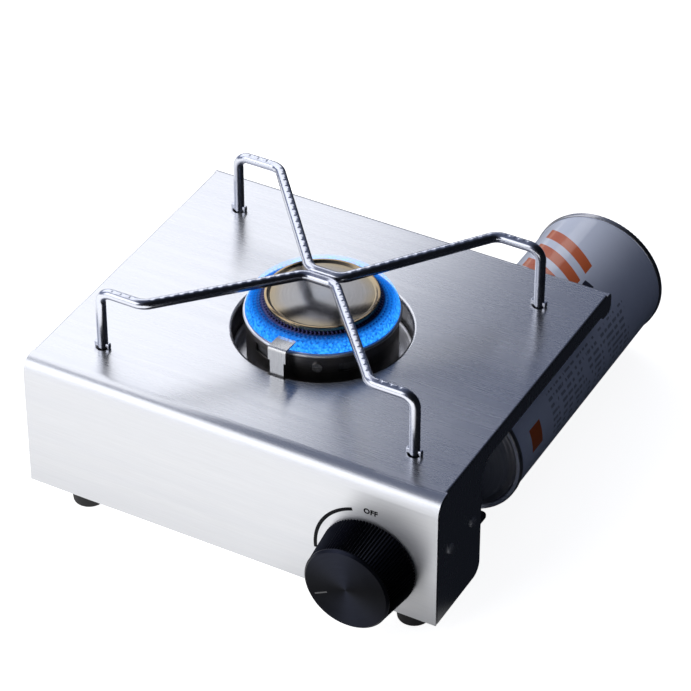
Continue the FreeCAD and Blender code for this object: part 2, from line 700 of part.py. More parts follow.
def bulkhead():
    """The cross sheet behind the front leg that carries the regulator and the coupling."""
    top = UNDER_TOP
    web = block((DIVIDER_X, INNER_X), (BULKHEAD_FRONT, BULKHEAD_REAR), (FLOOR_TOP, top))
    side = block((INNER_X - BULKHEAD_SHEET, INNER_X), (FRONT_BEND, BULKHEAD_REAR),
                 (FLOOR_TOP + BULKHEAD_SHEET + LEG_CORNER, top - STRIP_HEIGHT))
    foot = block((DIVIDER_X, INNER_X - LEG_CORNER), (BULKHEAD_REAR - BULKHEAD_FOOT, BULKHEAD_REAR),
                 (FLOOR_TOP, FLOOR_TOP + BULKHEAD_SHEET))
    corner_cut = block((INNER_X - LEG_CORNER, INNER_X + SHEET), (0, CASE_DEPTH), (0, LEG_CORNER + SHEET))
    opening = rod(COUPLING_STEM_RADIUS - PORT_BORE, 3.0 * BULKHEAD_SHEET,
                  on_can(BULKHEAD_FRONT - BULKHEAD_SHEET), Y_AXIS)
    holes = [rod(MOUNT_SCREW_RADIUS + SCREW_CLEARANCE, 3.0 * BULKHEAD_SHEET,
                 vector(x, BULKHEAD_FRONT - BULKHEAD_SHEET, z), Y_AXIS)
             for x, z in (MOUNT_SCREW_LOW, MOUNT_SCREW_HIGH)]
    holes += [rod(REG_SCREW_RADIUS + SCREW_CLEARANCE, 3.0 * BULKHEAD_SHEET, place - Y_AXIS * BULKHEAD_SHEET,
                  Y_AXIS) for place in coupling_screw_places(BULKHEAD_FRONT)]
    return joined([web, side, foot]).cut([corner_cut, opening] + holes + rivet_holes())


def blind_rivet(place, outward, grip):
    """A rivet with a domed head outside the sheets and a tail inside them."""
    head = turned([(0, 0, 0), (RIVET_HEAD_RADIUS, 0, 0),
                   (RIVET_HEAD_RADIUS, RIVET_HEAD_RISE, RIVET_HEAD_RISE - SHEET / 10), (0, RIVET_HEAD_RISE, 0)],
                  place, outward)
    shank = rod(RIVET_RADIUS, grip + RIVET_TAIL, place, outward * -1)
    tail = rod(RIVET_HEAD_RADIUS * 0.8, RIVET_TAIL, place - outward * grip, outward * -1)
    return joined([head, shank, tail])


def blind_rivets():
    rivets = [blind_rivet(place, X_AXIS, SHEET + BULKHEAD_SHEET) for place in leg_rivet_places()]
    rivets += [blind_rivet(place, X_AXIS * -1, 2.0 * SHEET) for place in base_rivet_places()]
    rivets += [blind_rivet(place, Y_AXIS, 2.0 * SHEET) for place in rear_rivet_places()]
    return Part.makeCompound(rivets)


def rubber_foot(place):
    """One foot, with a recess in its underside for the screw."""
    corners = [
        (FOOT_SCREW_RADIUS + SCREW_CLEARANCE, 0, 0), (FOOT_RADIUS, 0, 0),
        (FOOT_BASE_RADIUS, -FOOT_HEIGHT, SHEET), (FOOT_RECESS_RADIUS, -FOOT_HEIGHT, 0),
        (FOOT_RECESS_RADIUS, FOOT_RECESS_DEPTH - FOOT_HEIGHT, 0),
        (FOOT_SCREW_RADIUS + SCREW_CLEARANCE, FOOT_RECESS_DEPTH - FOOT_HEIGHT, 0),
    ]
    return turned(corners, place, Z_AXIS)


def rubber_feet():
    return Part.makeCompound([rubber_foot(place) for place in foot_places()])


def foot_screws():
    seat = FOOT_RECESS_DEPTH - FOOT_HEIGHT
    length = FLOOR_TOP + FOOT_NUT_HEIGHT - seat
    screws = []
    for place in foot_places():
        head_base = place + Z_AXIS * (seat - FOOT_SCREW_HEAD_RISE)
        head = rod(FOOT_SCREW_HEAD, FOOT_SCREW_HEAD_RISE, head_base, Z_AXIS)
        slot = block((place.x - FOOT_SCREW_HEAD, place.x + FOOT_SCREW_HEAD),
                     (place.y - SLOT_WIDTH / 2, place.y + SLOT_WIDTH / 2),
                     (head_base.z - SLOT_DEPTH, head_base.z + SLOT_DEPTH))
        screws.append(joined([head, rod(FOOT_SCREW_RADIUS, length, place + Z_AXIS * seat, Z_AXIS)]).cut(slot))
    return Part.makeCompound(screws)


def foot_nuts():
    nuts = []
    for place in foot_places():
        seat = place + Z_AXIS * FLOOR_TOP
        nut = hexagon(FOOT_NUT_RADIUS, FOOT_NUT_HEIGHT, seat, Z_AXIS)
        nuts.append(nut.cut(rod(FOOT_SCREW_RADIUS + FIT_GAP, FOOT_NUT_HEIGHT, seat, Z_AXIS)))
    return Part.makeCompound(nuts)


def drip_bowl():
    """The pressed dish under the burner hole, hung from the underside of the top."""
    outer = BOWL_RADIUS + BOWL_SHEET
    flange = BOWL_RADIUS + BOWL_FLANGE
    under = UNDER_TOP - BOWL_SHEET
    bowl = turned([
        (flange, UNDER_TOP, 0), (BOWL_RADIUS, UNDER_TOP, 0), (BOWL_RADIUS, BOWL_FLOOR, BOWL_CORNER),
        (BOWL_THROAT, BOWL_FLOOR, 0), (BOWL_THROAT, BOWL_FLOOR - BOWL_SHEET, 0),
        (outer, BOWL_FLOOR - BOWL_SHEET, BOWL_CORNER + BOWL_SHEET), (outer, under, 0), (flange, under, 0),
    ], on_burner(0), Z_AXIS)
    electrode_hole = rod(CERAMIC_RADIUS + FIT_GAP, 3.0 * BOWL_SHEET,
                         vector(ELECTRODE_X, ELECTRODE_Y, BOWL_FLOOR - 2.0 * BOWL_SHEET), Z_AXIS)
    return bowl.cut([electrode_hole, strap_rivet_hole()])


def skirt_slots():
    """Air slots cut through the burner's outer wall."""
    slots = []
    inner = SKIRT_RADIUS - 3.0 * BOWL_SHEET
    middle_z = CASE_HEIGHT + SKIRT_SLOT_Z
    for index in range(SKIRT_SLOT_COUNT):
        angle = SKIRT_SLOT_ANGLE + index * 360.0 / SKIRT_SLOT_COUNT
        slot = block((inner, SKIRT_RADIUS + BOWL_SHEET), (-SKIRT_SLOT_WIDTH / 2, SKIRT_SLOT_WIDTH / 2),
                     (middle_z - SKIRT_SLOT_HEIGHT / 2, middle_z + SKIRT_SLOT_HEIGHT / 2))
        slot.rotate(vector(0, 0, 0), Z_AXIS, angle)
        slot.translate(on_burner(0))
        slots.append(slot)
    return slots


def skirt_screw_angles():
    return [SKIRT_SCREW_ANGLE + index * 360.0 / SKIRT_SCREW_COUNT for index in range(SKIRT_SCREW_COUNT)]


def skirt_screw_holes(gap):
    """Radial holes for the screws that tie the burner's wall to its head."""
    z = CASE_HEIGHT + SKIRT_SCREW_Z
    return [rod(SKIRT_SCREW_RADIUS + gap, SKIRT_RADIUS, round_burner(angle, BOWL_THROAT, z),
                round_burner(angle, 1.0, 0) - on_burner(0)) for angle in skirt_screw_angles()]


def burner_skirt():
    """The burner's outer wall, standing on the floor of the bowl."""
    foot = BOWL_THROAT + SEAT_GAP
    inner = SKIRT_RADIUS - BOWL_SHEET
    wall = turned([
        (foot, BOWL_FLOOR, 0), (SKIRT_RADIUS, BOWL_FLOOR, 2.0 * BOWL_SHEET), (SKIRT_RADIUS, RIM_Z, 0),
        (inner, RIM_Z, 0), (inner, BOWL_FLOOR + BOWL_SHEET, BOWL_SHEET), (foot, BOWL_FLOOR + BOWL_SHEET, 0),
    ], on_burner(0), Z_AXIS)
    return wall.cut(skirt_slots() + skirt_screw_holes(SCREW_CLEARANCE))


def burner_rim():
    """The pale ring that closes the top of the burner's wall."""
    return turned([
        (RIM_INNER, RIM_Z, 0), (RIM_RADIUS, RIM_Z, RIM_ROUND), (RIM_RADIUS, RING_Z, RIM_ROUND),
        (RIM_INNER, RING_Z, 0),
    ], on_burner(0), Z_AXIS)


def flame_ports():
    """Small holes square to the slope of the flame ring, each row half a step on from the last."""
    run = RING_FOOT_RADIUS - RING_TOP_RADIUS
    slope = math.atan2(run, RING_HEIGHT)
    ports = []
    for row in range(PORT_ROWS):
        share = (row + 1) / (PORT_ROWS + 1)
        radius = RING_FOOT_RADIUS - RING_SHEET - run * share
        z = RING_Z + RING_HEIGHT * share
        for index in range(PORTS_PER_ROW):
            angle = (index + 0.5 * (row % 2)) * 360.0 / PORTS_PER_ROW
            outward = round_burner(angle, 1.0, 0) - on_burner(0)
            axis = outward * math.cos(slope) + Z_AXIS * math.sin(slope)
            start = round_burner(angle, radius, z) - axis * RING_SHEET
            ports.append(rod(PORT_RADIUS, 5.0 * RING_SHEET, start, axis))
    return ports


def flame_ring():
    """The sloping perforated crown that the flame burns on."""
    crown = turned([
        (RING_FOOT_RADIUS, RING_Z, 0), (RING_TOP_RADIUS, CAP_Z, 0), (RING_TOP_RADIUS - RING_SHEET, CAP_Z, 0),
        (RING_FOOT_RADIUS - 2.0 * RING_SHEET, RING_Z, 0),
    ], on_burner(0), Z_AXIS)
    return crown.cut(Part.makeCompound(flame_ports()))


def burner_cap():
    """The shallow lid in the middle, with a raised edge and a spigot inside the crown."""
    top = CAP_Z + CAP_SHEET
    spigot = CAP_SPIGOT_RADIUS
    return turned([
        (0, CAP_Z, 0), (spigot - CAP_SHEET, CAP_Z, 0), (spigot - CAP_SHEET, CAP_Z - CAP_SPIGOT_DEPTH, 0),
        (spigot, CAP_Z - CAP_SPIGOT_DEPTH, 0), (spigot, CAP_Z, 0), (CAP_RADIUS, CAP_Z, 0),
        (CAP_RADIUS, top + CAP_RIM_RISE, CAP_RIM_WIDTH / 3),
        (CAP_RADIUS - CAP_RIM_WIDTH, top + CAP_RIM_RISE, CAP_RIM_WIDTH / 3),
        (CAP_RADIUS - 2.0 * CAP_RIM_WIDTH, top, CAP_RIM_WIDTH), (0, top, 0),
    ], on_burner(0), Z_AXIS)


def burner_head():
    """The funnel that spreads the gas under the crown."""
    bore = NECK_RADIUS - NECK_WALL
    seat = BOWL_FLOOR + BOWL_SHEET
    inner = HEAD_RADIUS - HEAD_WALL
    funnel = turned([
        (bore, NECK_BOTTOM, 0), (NECK_RADIUS, NECK_BOTTOM, 0), (NECK_RADIUS, NECK_TOP, 0),
        (HEAD_WAIST, seat, 0), (HEAD_RADIUS, seat, 0), (HEAD_RADIUS, RIM_Z, 0), (inner, RIM_Z, 0),
        (inner, seat + HEAD_WALL, 0), (HEAD_WAIST - HEAD_WALL, seat + HEAD_WALL, 0),
        (bore, NECK_TOP + HEAD_WALL, 0),
    ], on_burner(0), Z_AXIS)
    return funnel.cut(skirt_screw_holes(FIT_GAP))


def burner_screws():
    """Slotted screws through the burner's wall into its head."""
    screws = []
    z = CASE_HEIGHT + SKIRT_SCREW_Z
    for angle in skirt_screw_angles():
        outward = round_burner(angle, 1.0, 0) - on_burner(0)
        seat = round_burner(angle, SKIRT_RADIUS, z)
        head = rod(SKIRT_SCREW_HEAD, SKIRT_SCREW_HEAD_RISE, seat, outward)
        shank_length = SKIRT_RADIUS - HEAD_RADIUS + HEAD_WALL
        shank = rod(SKIRT_SCREW_RADIUS, shank_length, seat - outward * shank_length, outward)
        slot = block((-SLOT_DEPTH, SLOT_DEPTH), (-SKIRT_SCREW_HEAD, SKIRT_SCREW_HEAD),
                     (-SLOT_WIDTH / 2, SLOT_WIDTH / 2))
        slot.rotate(vector(0, 0, 0), Z_AXIS, angle)
        slot.translate(seat + outward * SKIRT_SCREW_HEAD_RISE)
        screws.append(joined([head, shank]).cut(slot))
    return Part.makeCompound(screws)


def mixing_tube():
    """The venturi tube, its flared mouth and the socket that the burner's neck drops into."""
    rear = BURNER_Y + NECK_RADIUS + SOCKET_WALL
    length = rear - MIX_FRONT - BELL_LENGTH
    start = vector(BURNER_X, MIX_FRONT + BELL_LENGTH, MIX_Z)
    mouth = vector(BURNER_X, MIX_FRONT, MIX_Z)
    bore = MIX_RADIUS - MIX_WALL
    socket_bore = NECK_RADIUS + FIT_GAP
    outside = joined([
        rod(MIX_RADIUS, length, start, Y_AXIS),
        Part.makeCone(BELL_RADIUS, MIX_RADIUS, BELL_LENGTH, mouth, Y_AXIS),
        rod(socket_bore + SOCKET_WALL, SOCKET_TOP - MIX_Z, on_burner(MIX_Z), Z_AXIS),
    ])
    inside = [
        rod(bore, length - MIX_WALL, start, Y_AXIS),
        Part.makeCone(BELL_RADIUS - MIX_WALL, bore, BELL_LENGTH, mouth, Y_AXIS),
        rod(NECK_RADIUS - NECK_WALL, NECK_BOTTOM - MIX_Z, on_burner(MIX_Z), Z_AXIS),
        rod(socket_bore, NECK_INSERT, on_burner(NECK_BOTTOM), Z_AXIS),
    ]
    return outside.cut(inside)


def jet_holder():
    """The brass block that takes the gas tube and carries the jet."""
    start = vector(BURNER_X, JET_Y - JET_HOLDER_FRONT, MIX_Z)
    length = BRACKET_Y - start.y
    boss = rod(JET_BOSS_RADIUS, JET_BOSS_REACH, vector(BURNER_X, JET_Y, MIX_Z), X_AXIS)
    body = joined([hexagon(JET_HOLDER_RADIUS, length, start, Y_AXIS), boss])
    way_in = rod(GAS_TUBE_BORE, JET_BOSS_REACH, vector(BURNER_X, JET_Y, MIX_Z), X_AXIS)
    way_out = rod(GAS_TUBE_BORE, length, vector(BURNER_X, JET_Y, MIX_Z), Y_AXIS)
    return body.cut([way_in, way_out])


def jet():
    """The brass jet, flange against the bracket and tip in the mouth of the mixing tube."""
    tip = JET_TIP_Y - BRACKET_Y
    corners = [
        (JET_BORE, 0, 0), (JET_RADIUS, 0, 0), (JET_RADIUS, BRACKET_SHEET, 0), (JET_FLANGE_RADIUS, BRACKET_SHEET, 0),
        (JET_FLANGE_RADIUS, BRACKET_SHEET + JET_FLANGE, 0), (JET_RADIUS, BRACKET_SHEET + JET_FLANGE, 0),
        (JET_TIP_RADIUS, tip, 0), (JET_BORE, tip, 0),
    ]
    return turned(corners, vector(BURNER_X, BRACKET_Y, MIX_Z), Y_AXIS)


def jet_bracket():
    """The upright that holds the jet and its block above the floor."""
    half = BRACKET_WIDTH / 2
    upright = block((BURNER_X - half, BURNER_X + half), (BRACKET_Y, JET_FLANGE_Y),
                    (FLOOR_TOP, MIX_Z + JET_HOLDER_RADIUS))
    foot = block((BURNER_X - half, BURNER_X + half), (BRACKET_Y, JET_FLANGE_Y + BRACKET_FOOT),
                 (FLOOR_TOP, FLOOR_TOP + BRACKET_SHEET))
    hole = rod(JET_RADIUS + FIT_GAP, 3.0 * BRACKET_SHEET,
               vector(BURNER_X, BRACKET_Y - BRACKET_SHEET, MIX_Z), Y_AXIS)
    return joined([upright, foot]).cut(hole)


def gas_tube_points():
    """The tube's route, from the regulator's side to the boss on the jet's block."""
    start = vector(REG_LEFT, JET_Y, OUTLET_Z)
    finish = vector(BURNER_X + JET_BOSS_REACH, JET_Y, MIX_Z)
    return [start, start - X_AXIS * GAS_TUBE_END_RUN, finish + X_AXIS * GAS_TUBE_END_RUN, finish]


def gas_tube():
    points = gas_tube_points()
    outside = swept_rod(points, GAS_TUBE_BEND, GAS_TUBE_RADIUS)
    return outside.cut(swept_rod(points, GAS_TUBE_BEND, GAS_TUBE_BORE))


def tube_nuts():
    points = gas_tube_points()
    nuts = []
    for start, axis in ((points[0], X_AXIS * -1), (points[-1], X_AXIS)):
        nut = hexagon(TUBE_NUT_RADIUS, TUBE_NUT_LENGTH, start, axis)
        nuts.append(nut.cut(rod(GAS_TUBE_RADIUS + FIT_GAP, TUBE_NUT_LENGTH, start, axis)))
    return Part.makeCompound(nuts)


def strap_rivet_place():
    return vector(BURNER_X, strap_front_y(), CASE_HEIGHT - STRAP_DROP + 2.0 * STRAP_RIVET_HEAD)


def strap_rivet_hole():
    place = strap_rivet_place()
    return rod(STRAP_RIVET_RADIUS + FIT_GAP, 4.0 * BOWL_SHEET, place - Y_AXIS * 3.0 * BOWL_SHEET, Y_AXIS)


def igniter_strap():
    """The bent strip that stands in the edge of the hole and shields the spark gap."""
    front = strap_front_y()
    back = front + STRAP_SHEET
    top = CASE_HEIGHT + STRAP_RISE
    low = CASE_HEIGHT - STRAP_DROP
    end = front + STRAP_REACH
    half_head = STRAP_HEAD_WIDTH / 2
    half_neck = STRAP_NECK_WIDTH / 2
    strip = sheet_across([
        (front, low, 0), (front, top, STRAP_BEND), (end, top - STRAP_FALL, 0),
        (end, top - STRAP_FALL - STRAP_SHEET, 0), (back, top - STRAP_SHEET, STRAP_BEND - STRAP_SHEET),
        (back, low, 0),
    ], (BURNER_X - half_head, BURNER_X + half_head))
    cuts = [block(x_range, (front - SHEET, back + SHEET), (low - SHEET, CASE_HEIGHT + STRAP_NECK_RISE))
            for x_range in ((BURNER_X - half_head - SHEET, BURNER_X - half_neck),
                            (BURNER_X + half_neck, BURNER_X + half_head + SHEET))]
    return strip.cut(cuts + [strap_rivet_hole()])


def strap_rivet():
    place = strap_rivet_place()
    back = place + Y_AXIS * STRAP_SHEET
    wall_outside = BURNER_Y - BOWL_RADIUS - BOWL_SHEET
    head = rod(STRAP_RIVET_HEAD, STRAP_RIVET_RISE, back, Y_AXIS)
    shank = rod(STRAP_RIVET_RADIUS, back.y - wall_outside + STRAP_RIVET_RISE,
                vector(place.x, wall_outside - STRAP_RIVET_RISE, place.z), Y_AXIS)
    return joined([head, shank])


def electrode_ceramic():
    """The insulator through the floor of the bowl, its shoulder resting on that floor."""
    low = BOWL_FLOOR - BOWL_SHEET - CERAMIC_DROP
    bore = PIN_RADIUS + FIT_GAP
    top = CASE_HEIGHT + CERAMIC_RISE
    return turned([
        (bore, low, 0), (CERAMIC_RADIUS, low, 0), (CERAMIC_RADIUS, BOWL_FLOOR, 0),
        (CERAMIC_SHOULDER, BOWL_FLOOR, 0), (CERAMIC_SHOULDER, BOWL_FLOOR + CERAMIC_SHOULDER_RISE, 0),
        (CERAMIC_RADIUS, BOWL_FLOOR + CERAMIC_SHOULDER_RISE, 0), (CERAMIC_RADIUS, top, CERAMIC_RADIUS / 3),
        (bore, top, 0),
    ], vector(ELECTRODE_X, ELECTRODE_Y, 0), Z_AXIS)


def electrode_pin():
    """The spark wire, up through the ceramic and bent round below it to meet the lead."""
    foot = vector(ELECTRODE_X, ELECTRODE_Y, LEAD_TOP_Z)
    points = [foot - X_AXIS * PIN_DROP, foot, vector(foot.x, foot.y, CASE_HEIGHT + PIN_RISE)]
    return swept_rod(points, PIN_DROP / 2, PIN_RADIUS)


def igniter_ranges():
    half = IGNITER_WIDTH / 2
    return ((IGNITER_LEFT, IGNITER_RIGHT), (IGNITER_Y - half, IGNITER_Y + half), (KNOB_Z - half, KNOB_Z + half))


def igniter_body():
    """The piezo unit, with a bore for its plunger and a spout for the lead."""
    x_range, y_range, z_range = igniter_ranges()
    case = block(x_range, y_range, z_range)
    spout = rod(IGNITER_SPOUT_RADIUS, IGNITER_SPOUT,
                vector(IGNITER_LEFT - IGNITER_SPOUT, IGNITER_Y, KNOB_Z), X_AXIS)
    depth = PLUNGER_TAIL + IGNITER_RIGHT - PLUNGER_TIP_X + PLUNGER_TRAVEL * 3
    bore = rod(PLUNGER_RADIUS + FIT_GAP, depth, vector(IGNITER_RIGHT - depth, IGNITER_Y, KNOB_Z), X_AXIS)
    return joined([case, spout]).cut(bore)


def igniter_plunger():
    """The thumb of the piezo unit, pressed in by the cam; its rounded tip faces the spindle."""
    tail_x = IGNITER_RIGHT - PLUNGER_TAIL
    shoulder = PLUNGER_TIP_X - tail_x - PLUNGER_TIP_RADIUS
    return turned([
        (0, 0, 0), (PLUNGER_RADIUS, 0, 0), (PLUNGER_RADIUS, shoulder - PLUNGER_TIP_RADIUS, 0),
        (PLUNGER_TIP_RADIUS, shoulder, 0),
        (PLUNGER_TIP_RADIUS, shoulder + PLUNGER_TIP_RADIUS, PLUNGER_TIP_RADIUS * 0.95),
        (0, shoulder + PLUNGER_TIP_RADIUS, 0),
    ], vector(tail_x, IGNITER_Y, KNOB_Z), X_AXIS)


def igniter_bracket():
    """The sheet behind the piezo unit, folded to a foot on the floor."""
    x_range, y_range, z_range = igniter_ranges()
    back = y_range[1]
    upright = block(x_range, (back, back + SHEET), (FLOOR_TOP, z_range[1]))
    foot = block(x_range, (back, back + BRACKET_FOOT), (FLOOR_TOP, FLOOR_TOP + SHEET))
    return joined([upright, foot])


def lead_points():
    """The spark lead's route: down to the floor, across, back and up to the electrode."""
    start_x = IGNITER_LEFT - IGNITER_SPOUT
    drop_x = start_x - 2.0 * LEAD_BEND
    return [
        vector(start_x, IGNITER_Y, KNOB_Z), vector(drop_x, IGNITER_Y, KNOB_Z), vector(drop_x, IGNITER_Y, LEAD_Z),
        vector(LEAD_LEFT_X, IGNITER_Y, LEAD_Z), vector(LEAD_LEFT_X, ELECTRODE_Y, LEAD_Z),
        vector(LEAD_LEFT_X, ELECTRODE_Y, LEAD_TOP_Z), vector(ELECTRODE_X - PIN_DROP, ELECTRODE_Y, LEAD_TOP_Z),
    ]


def igniter_lead():
    return swept_rod(lead_points(), LEAD_BEND, LEAD_RADIUS)


def lead_clips():
    """Saddles that hold the spark lead down on the floor."""
    clips = []
    outer = LEAD_RADIUS + FIT_GAP + LEAD_CLIP_WALL
    for share in LEAD_CLIP_PLACES:
        y = IGNITER_Y + share * (ELECTRODE_Y - IGNITER_Y) - LEAD_CLIP_WIDTH / 2
        saddle = block((LEAD_LEFT_X - 2.0 * outer, LEAD_LEFT_X + outer), (y, y + LEAD_CLIP_WIDTH),
                       (FLOOR_TOP, LEAD_Z + outer))
        channel = rod(LEAD_RADIUS + FIT_GAP, LEAD_CLIP_WIDTH, vector(LEAD_LEFT_X, y, LEAD_Z), Y_AXIS)
        trim = block((LEAD_LEFT_X - 3.0 * outer, LEAD_LEFT_X - outer), (y, y + LEAD_CLIP_WIDTH),
                     (FLOOR_TOP + LEAD_CLIP_WALL, LEAD_Z + 2.0 * outer))
        clips.append(saddle.cut([channel, trim]))
    return Part.makeCompound(clips)


def pointer_bar(gap):
    """The pointer's place in the knob's face, at its angle from three o'clock as seen from in front."""
    half = POINTER_WIDTH / 2 + gap
    bar = block((POINTER_INNER - gap, POINTER_OUTER + gap), (0, POINTER_DEPTH), (-half, half))
    bar.rotate(vector(0, 0, 0), Y_AXIS, -POINTER_ANGLE)
    bar.translate(on_spindle(KNOB_FACE))
    return bar


def spindle_flat_cut(gap):
    """What the flat takes off the spindle where the knob sits on it."""
    low = KNOB_Z + SPINDLE_RADIUS - SPINDLE_FLAT + gap
    return block((KNOB_X - KNOB_RADIUS, KNOB_X + KNOB_RADIUS), (SPINDLE_FRONT - SHEET, KNOB_REAR),
                 (low, low + KNOB_RADIUS))


def knurled_ring(crest_radius, height):
    """The knob's outline at one height: a crest and a valley by turns, their depth in scale with the radius."""
    valley_radius = crest_radius * (1.0 - KNURL_DEPTH / KNOB_RADIUS)
    points = []
    for index in range(2 * KNURL_COUNT + 1):
        radius = valley_radius if index % 2 else crest_radius
        angle = math.pi * index / KNURL_COUNT
        points.append(vector(radius * math.cos(angle), radius * math.sin(angle), height))
    return Part.makePolygon(points)


def knob():
    """The knob, wider at its rear: smooth chamfered front edge, straight knurl, socket for the spindle."""
    knurled_length = KNOB_LENGTH - KNOB_FACE_BAND
    ends = [knurled_ring(KNOB_REAR_RADIUS, 0), knurled_ring(KNOB_RADIUS, knurled_length)]
    knurled = Part.makeLoft(ends, True, True)
    front = turned([
        (0, knurled_length, 0), (KNOB_RADIUS, knurled_length, 0),
        (KNOB_RADIUS, KNOB_LENGTH - KNOB_CHAMFER, 0), (KNOB_RADIUS - KNOB_CHAMFER, KNOB_LENGTH, 0),
        (0, KNOB_LENGTH, 0),
    ], vector(0, 0, 0), Z_AXIS)
    body = stood_on(joined([knurled, front]), on_spindle(KNOB_REAR), Y_AXIS * -1)
    socket = rod(SPINDLE_RADIUS + FIT_GAP / 2, KNOB_SOCKET_DEPTH + FIT_GAP, on_spindle(KNOB_REAR), Y_AXIS * -1)
    return body.cut([socket.cut(spindle_flat_cut(FIT_GAP)), pointer_bar(FIT_GAP / 2)])


def spindle():
    """The shaft from the knob to the valve plug, flatted at its front end."""
    shaft = rod(SPINDLE_RADIUS, PLUG_FRONT - SPINDLE_FRONT, on_spindle(SPINDLE_FRONT), Y_AXIS)
    return shaft.cut(spindle_flat_cut(0))


def cam_radius(share):
    """The cam's radius falls evenly from its high point to its low point over the knob's turn."""
    return CAM_HIGH - (CAM_HIGH - CAM_LOW) * share


def igniter_cam():
    """A flat cam whose edge is an even spiral, so that the plunger's travel follows the knob's turn."""
    steps = 12
    start_angle = 180.0

    def edge_point(angle, radius):
        turn = math.radians(angle)
        return vector(KNOB_X + radius * math.cos(turn), CAM_FRONT, KNOB_Z + radius * math.sin(turn))

    spiral_points = [edge_point(start_angle + KNOB_TURN * k / steps, cam_radius(k / steps))
                     for k in range(steps + 1)]
    spiral = Part.BSplineCurve()
    spiral.interpolate(spiral_points)
    low_angle = start_angle + KNOB_TURN
    back_angle = start_angle + 270.0
    dwell = Part.Arc(spiral_points[-1], edge_point((low_angle + back_angle) / 2, CAM_LOW),
                     edge_point(back_angle, CAM_LOW))
    rise_angle = start_angle + 350.0
    rise = Part.LineSegment(edge_point(back_angle, CAM_LOW), edge_point(rise_angle, CAM_HIGH))
    nose = Part.Arc(edge_point(rise_angle, CAM_HIGH), edge_point(start_angle + 355.0, CAM_HIGH),
                    spiral_points[0])
    loop = Part.Wire([curve.toShape() for curve in (spiral, dwell, rise, nose)])
    disc = Part.Face(loop).extrude(Y_AXIS * CAM_THICKNESS)
    return disc.cut(rod(SPINDLE_RADIUS + FIT_GAP, CAM_THICKNESS, on_spindle(CAM_FRONT), Y_AXIS))


def thrust_collar():
    """The bush between the cam and the spring; it slides with the spindle and doesn't turn."""
    return tube(COLLAR_RADIUS, SPINDLE_RADIUS + FIT_GAP, COLLAR_LENGTH, on_spindle(CAM_REAR), Y_AXIS)


def return_spring():
    """The knob's spring, as a sleeve of the coil's outer and inner size."""
    return tube(SPRING_RADIUS, SPRING_RADIUS - SPRING_WIRE, GLAND_FRONT - COLLAR_REAR,
                on_spindle(COLLAR_REAR), Y_AXIS)


def gland_nut():
    """The nut that closes the valve bore round the spindle."""
    nut = hexagon(GLAND_NUT_RADIUS, GLAND_NUT_LENGTH, on_spindle(GLAND_FRONT), Y_AXIS)
    spigot = rod(GLAND_RADIUS - FIT_GAP, GLAND_SPIGOT, on_spindle(REG_FRONT), Y_AXIS)
    return joined([nut, spigot]).cut(
        rod(SPINDLE_RADIUS + FIT_GAP, GLAND_NUT_LENGTH + GLAND_SPIGOT, on_spindle(GLAND_FRONT), Y_AXIS))


def spindle_seal():
    return tube(GLAND_RADIUS - FIT_GAP, SPINDLE_RADIUS + FIT_GAP, SEAL_LENGTH, on_spindle(GLAND_REAR), Y_AXIS)


def valve_plug():
    """The ported plug on the end of the spindle that opens the gas way as it turns."""
    plug = rod(GLAND_RADIUS - FIT_GAP, PLUG_LENGTH, on_spindle(PLUG_FRONT), Y_AXIS)
    middle = on_spindle(PLUG_FRONT + PLUG_LENGTH / 2)
    cross = rod(PLUG_PORT_RADIUS, 2.0 * GLAND_RADIUS, middle - X_AXIS * GLAND_RADIUS, X_AXIS)
    way_in = rod(PLUG_PORT_RADIUS, PLUG_LENGTH / 2, middle, Y_AXIS)
    return plug.cut([cross, way_in])


def regulator_body():
    """The cast block that holds the valve, the pressure chamber and the gas ways between them."""
    outline = [(REG_LEFT, REG_BOTTOM, REG_CORNER), (REG_RIGHT, REG_BOTTOM, REG_CORNER),
               (REG_RIGHT, REG_TOP, REG_CORNER), (REG_LEFT, REG_TOP, REG_CORNER)]
    block_body = outline_face(outline, lambda x, z: vector(x, REG_FRONT, z)).extrude(Y_AXIS * REG_DEPTH)
    chamber_middle = vector(KNOB_X, REG_FRONT, DIAPHRAGM_Z)
    cross_start = min(JET_Y, REG_FRONT + CHAMBER_DEPTH / 2) - PORT_BORE / 3
    cross_end = max(JET_Y, REG_FRONT + CHAMBER_DEPTH / 2) + PORT_BORE / 3
    cuts = [
        rod(GLAND_RADIUS, VALVE_BORE_END - REG_FRONT, on_spindle(REG_FRONT), Y_AXIS),
        rod(CHAMBER_RADIUS, CHAMBER_DEPTH, chamber_middle, Y_AXIS),
        rod(PORT_BORE, DIAPHRAGM_Z - KNOB_Z + PORT_BORE, on_spindle(JET_Y), Z_AXIS),
        rod(PORT_BORE * 0.8, cross_end - cross_start, vector(KNOB_X, cross_start, DIAPHRAGM_Z), Y_AXIS),
        rod(GAS_TUBE_BORE, KNOB_X - REG_LEFT, vector(REG_LEFT, JET_Y, OUTLET_Z), X_AXIS),
        rod(PORT_BORE, REG_DEPTH, on_can(VALVE_BORE_END - PORT_BORE), Y_AXIS),
    ]
    cuts += [rod(REG_SCREW_RADIUS + FIT_GAP, REG_SCREW_DEPTH, place, Y_AXIS) for place in cover_screw_places()]
    cuts += [rod(REG_SCREW_RADIUS + FIT_GAP, COUPLING_SCREW_DEPTH, place - Y_AXIS * COUPLING_SCREW_DEPTH, Y_AXIS)
             for place in coupling_screw_places(BULKHEAD_FRONT)]
    cuts += [rod(MOUNT_SCREW_RADIUS + FIT_GAP, REG_SCREW_DEPTH,
                 vector(x, BULKHEAD_FRONT - REG_SCREW_DEPTH, z), Y_AXIS)
             for x, z in (MOUNT_SCREW_LOW, MOUNT_SCREW_HIGH)]
    return block_body.cut(cuts)


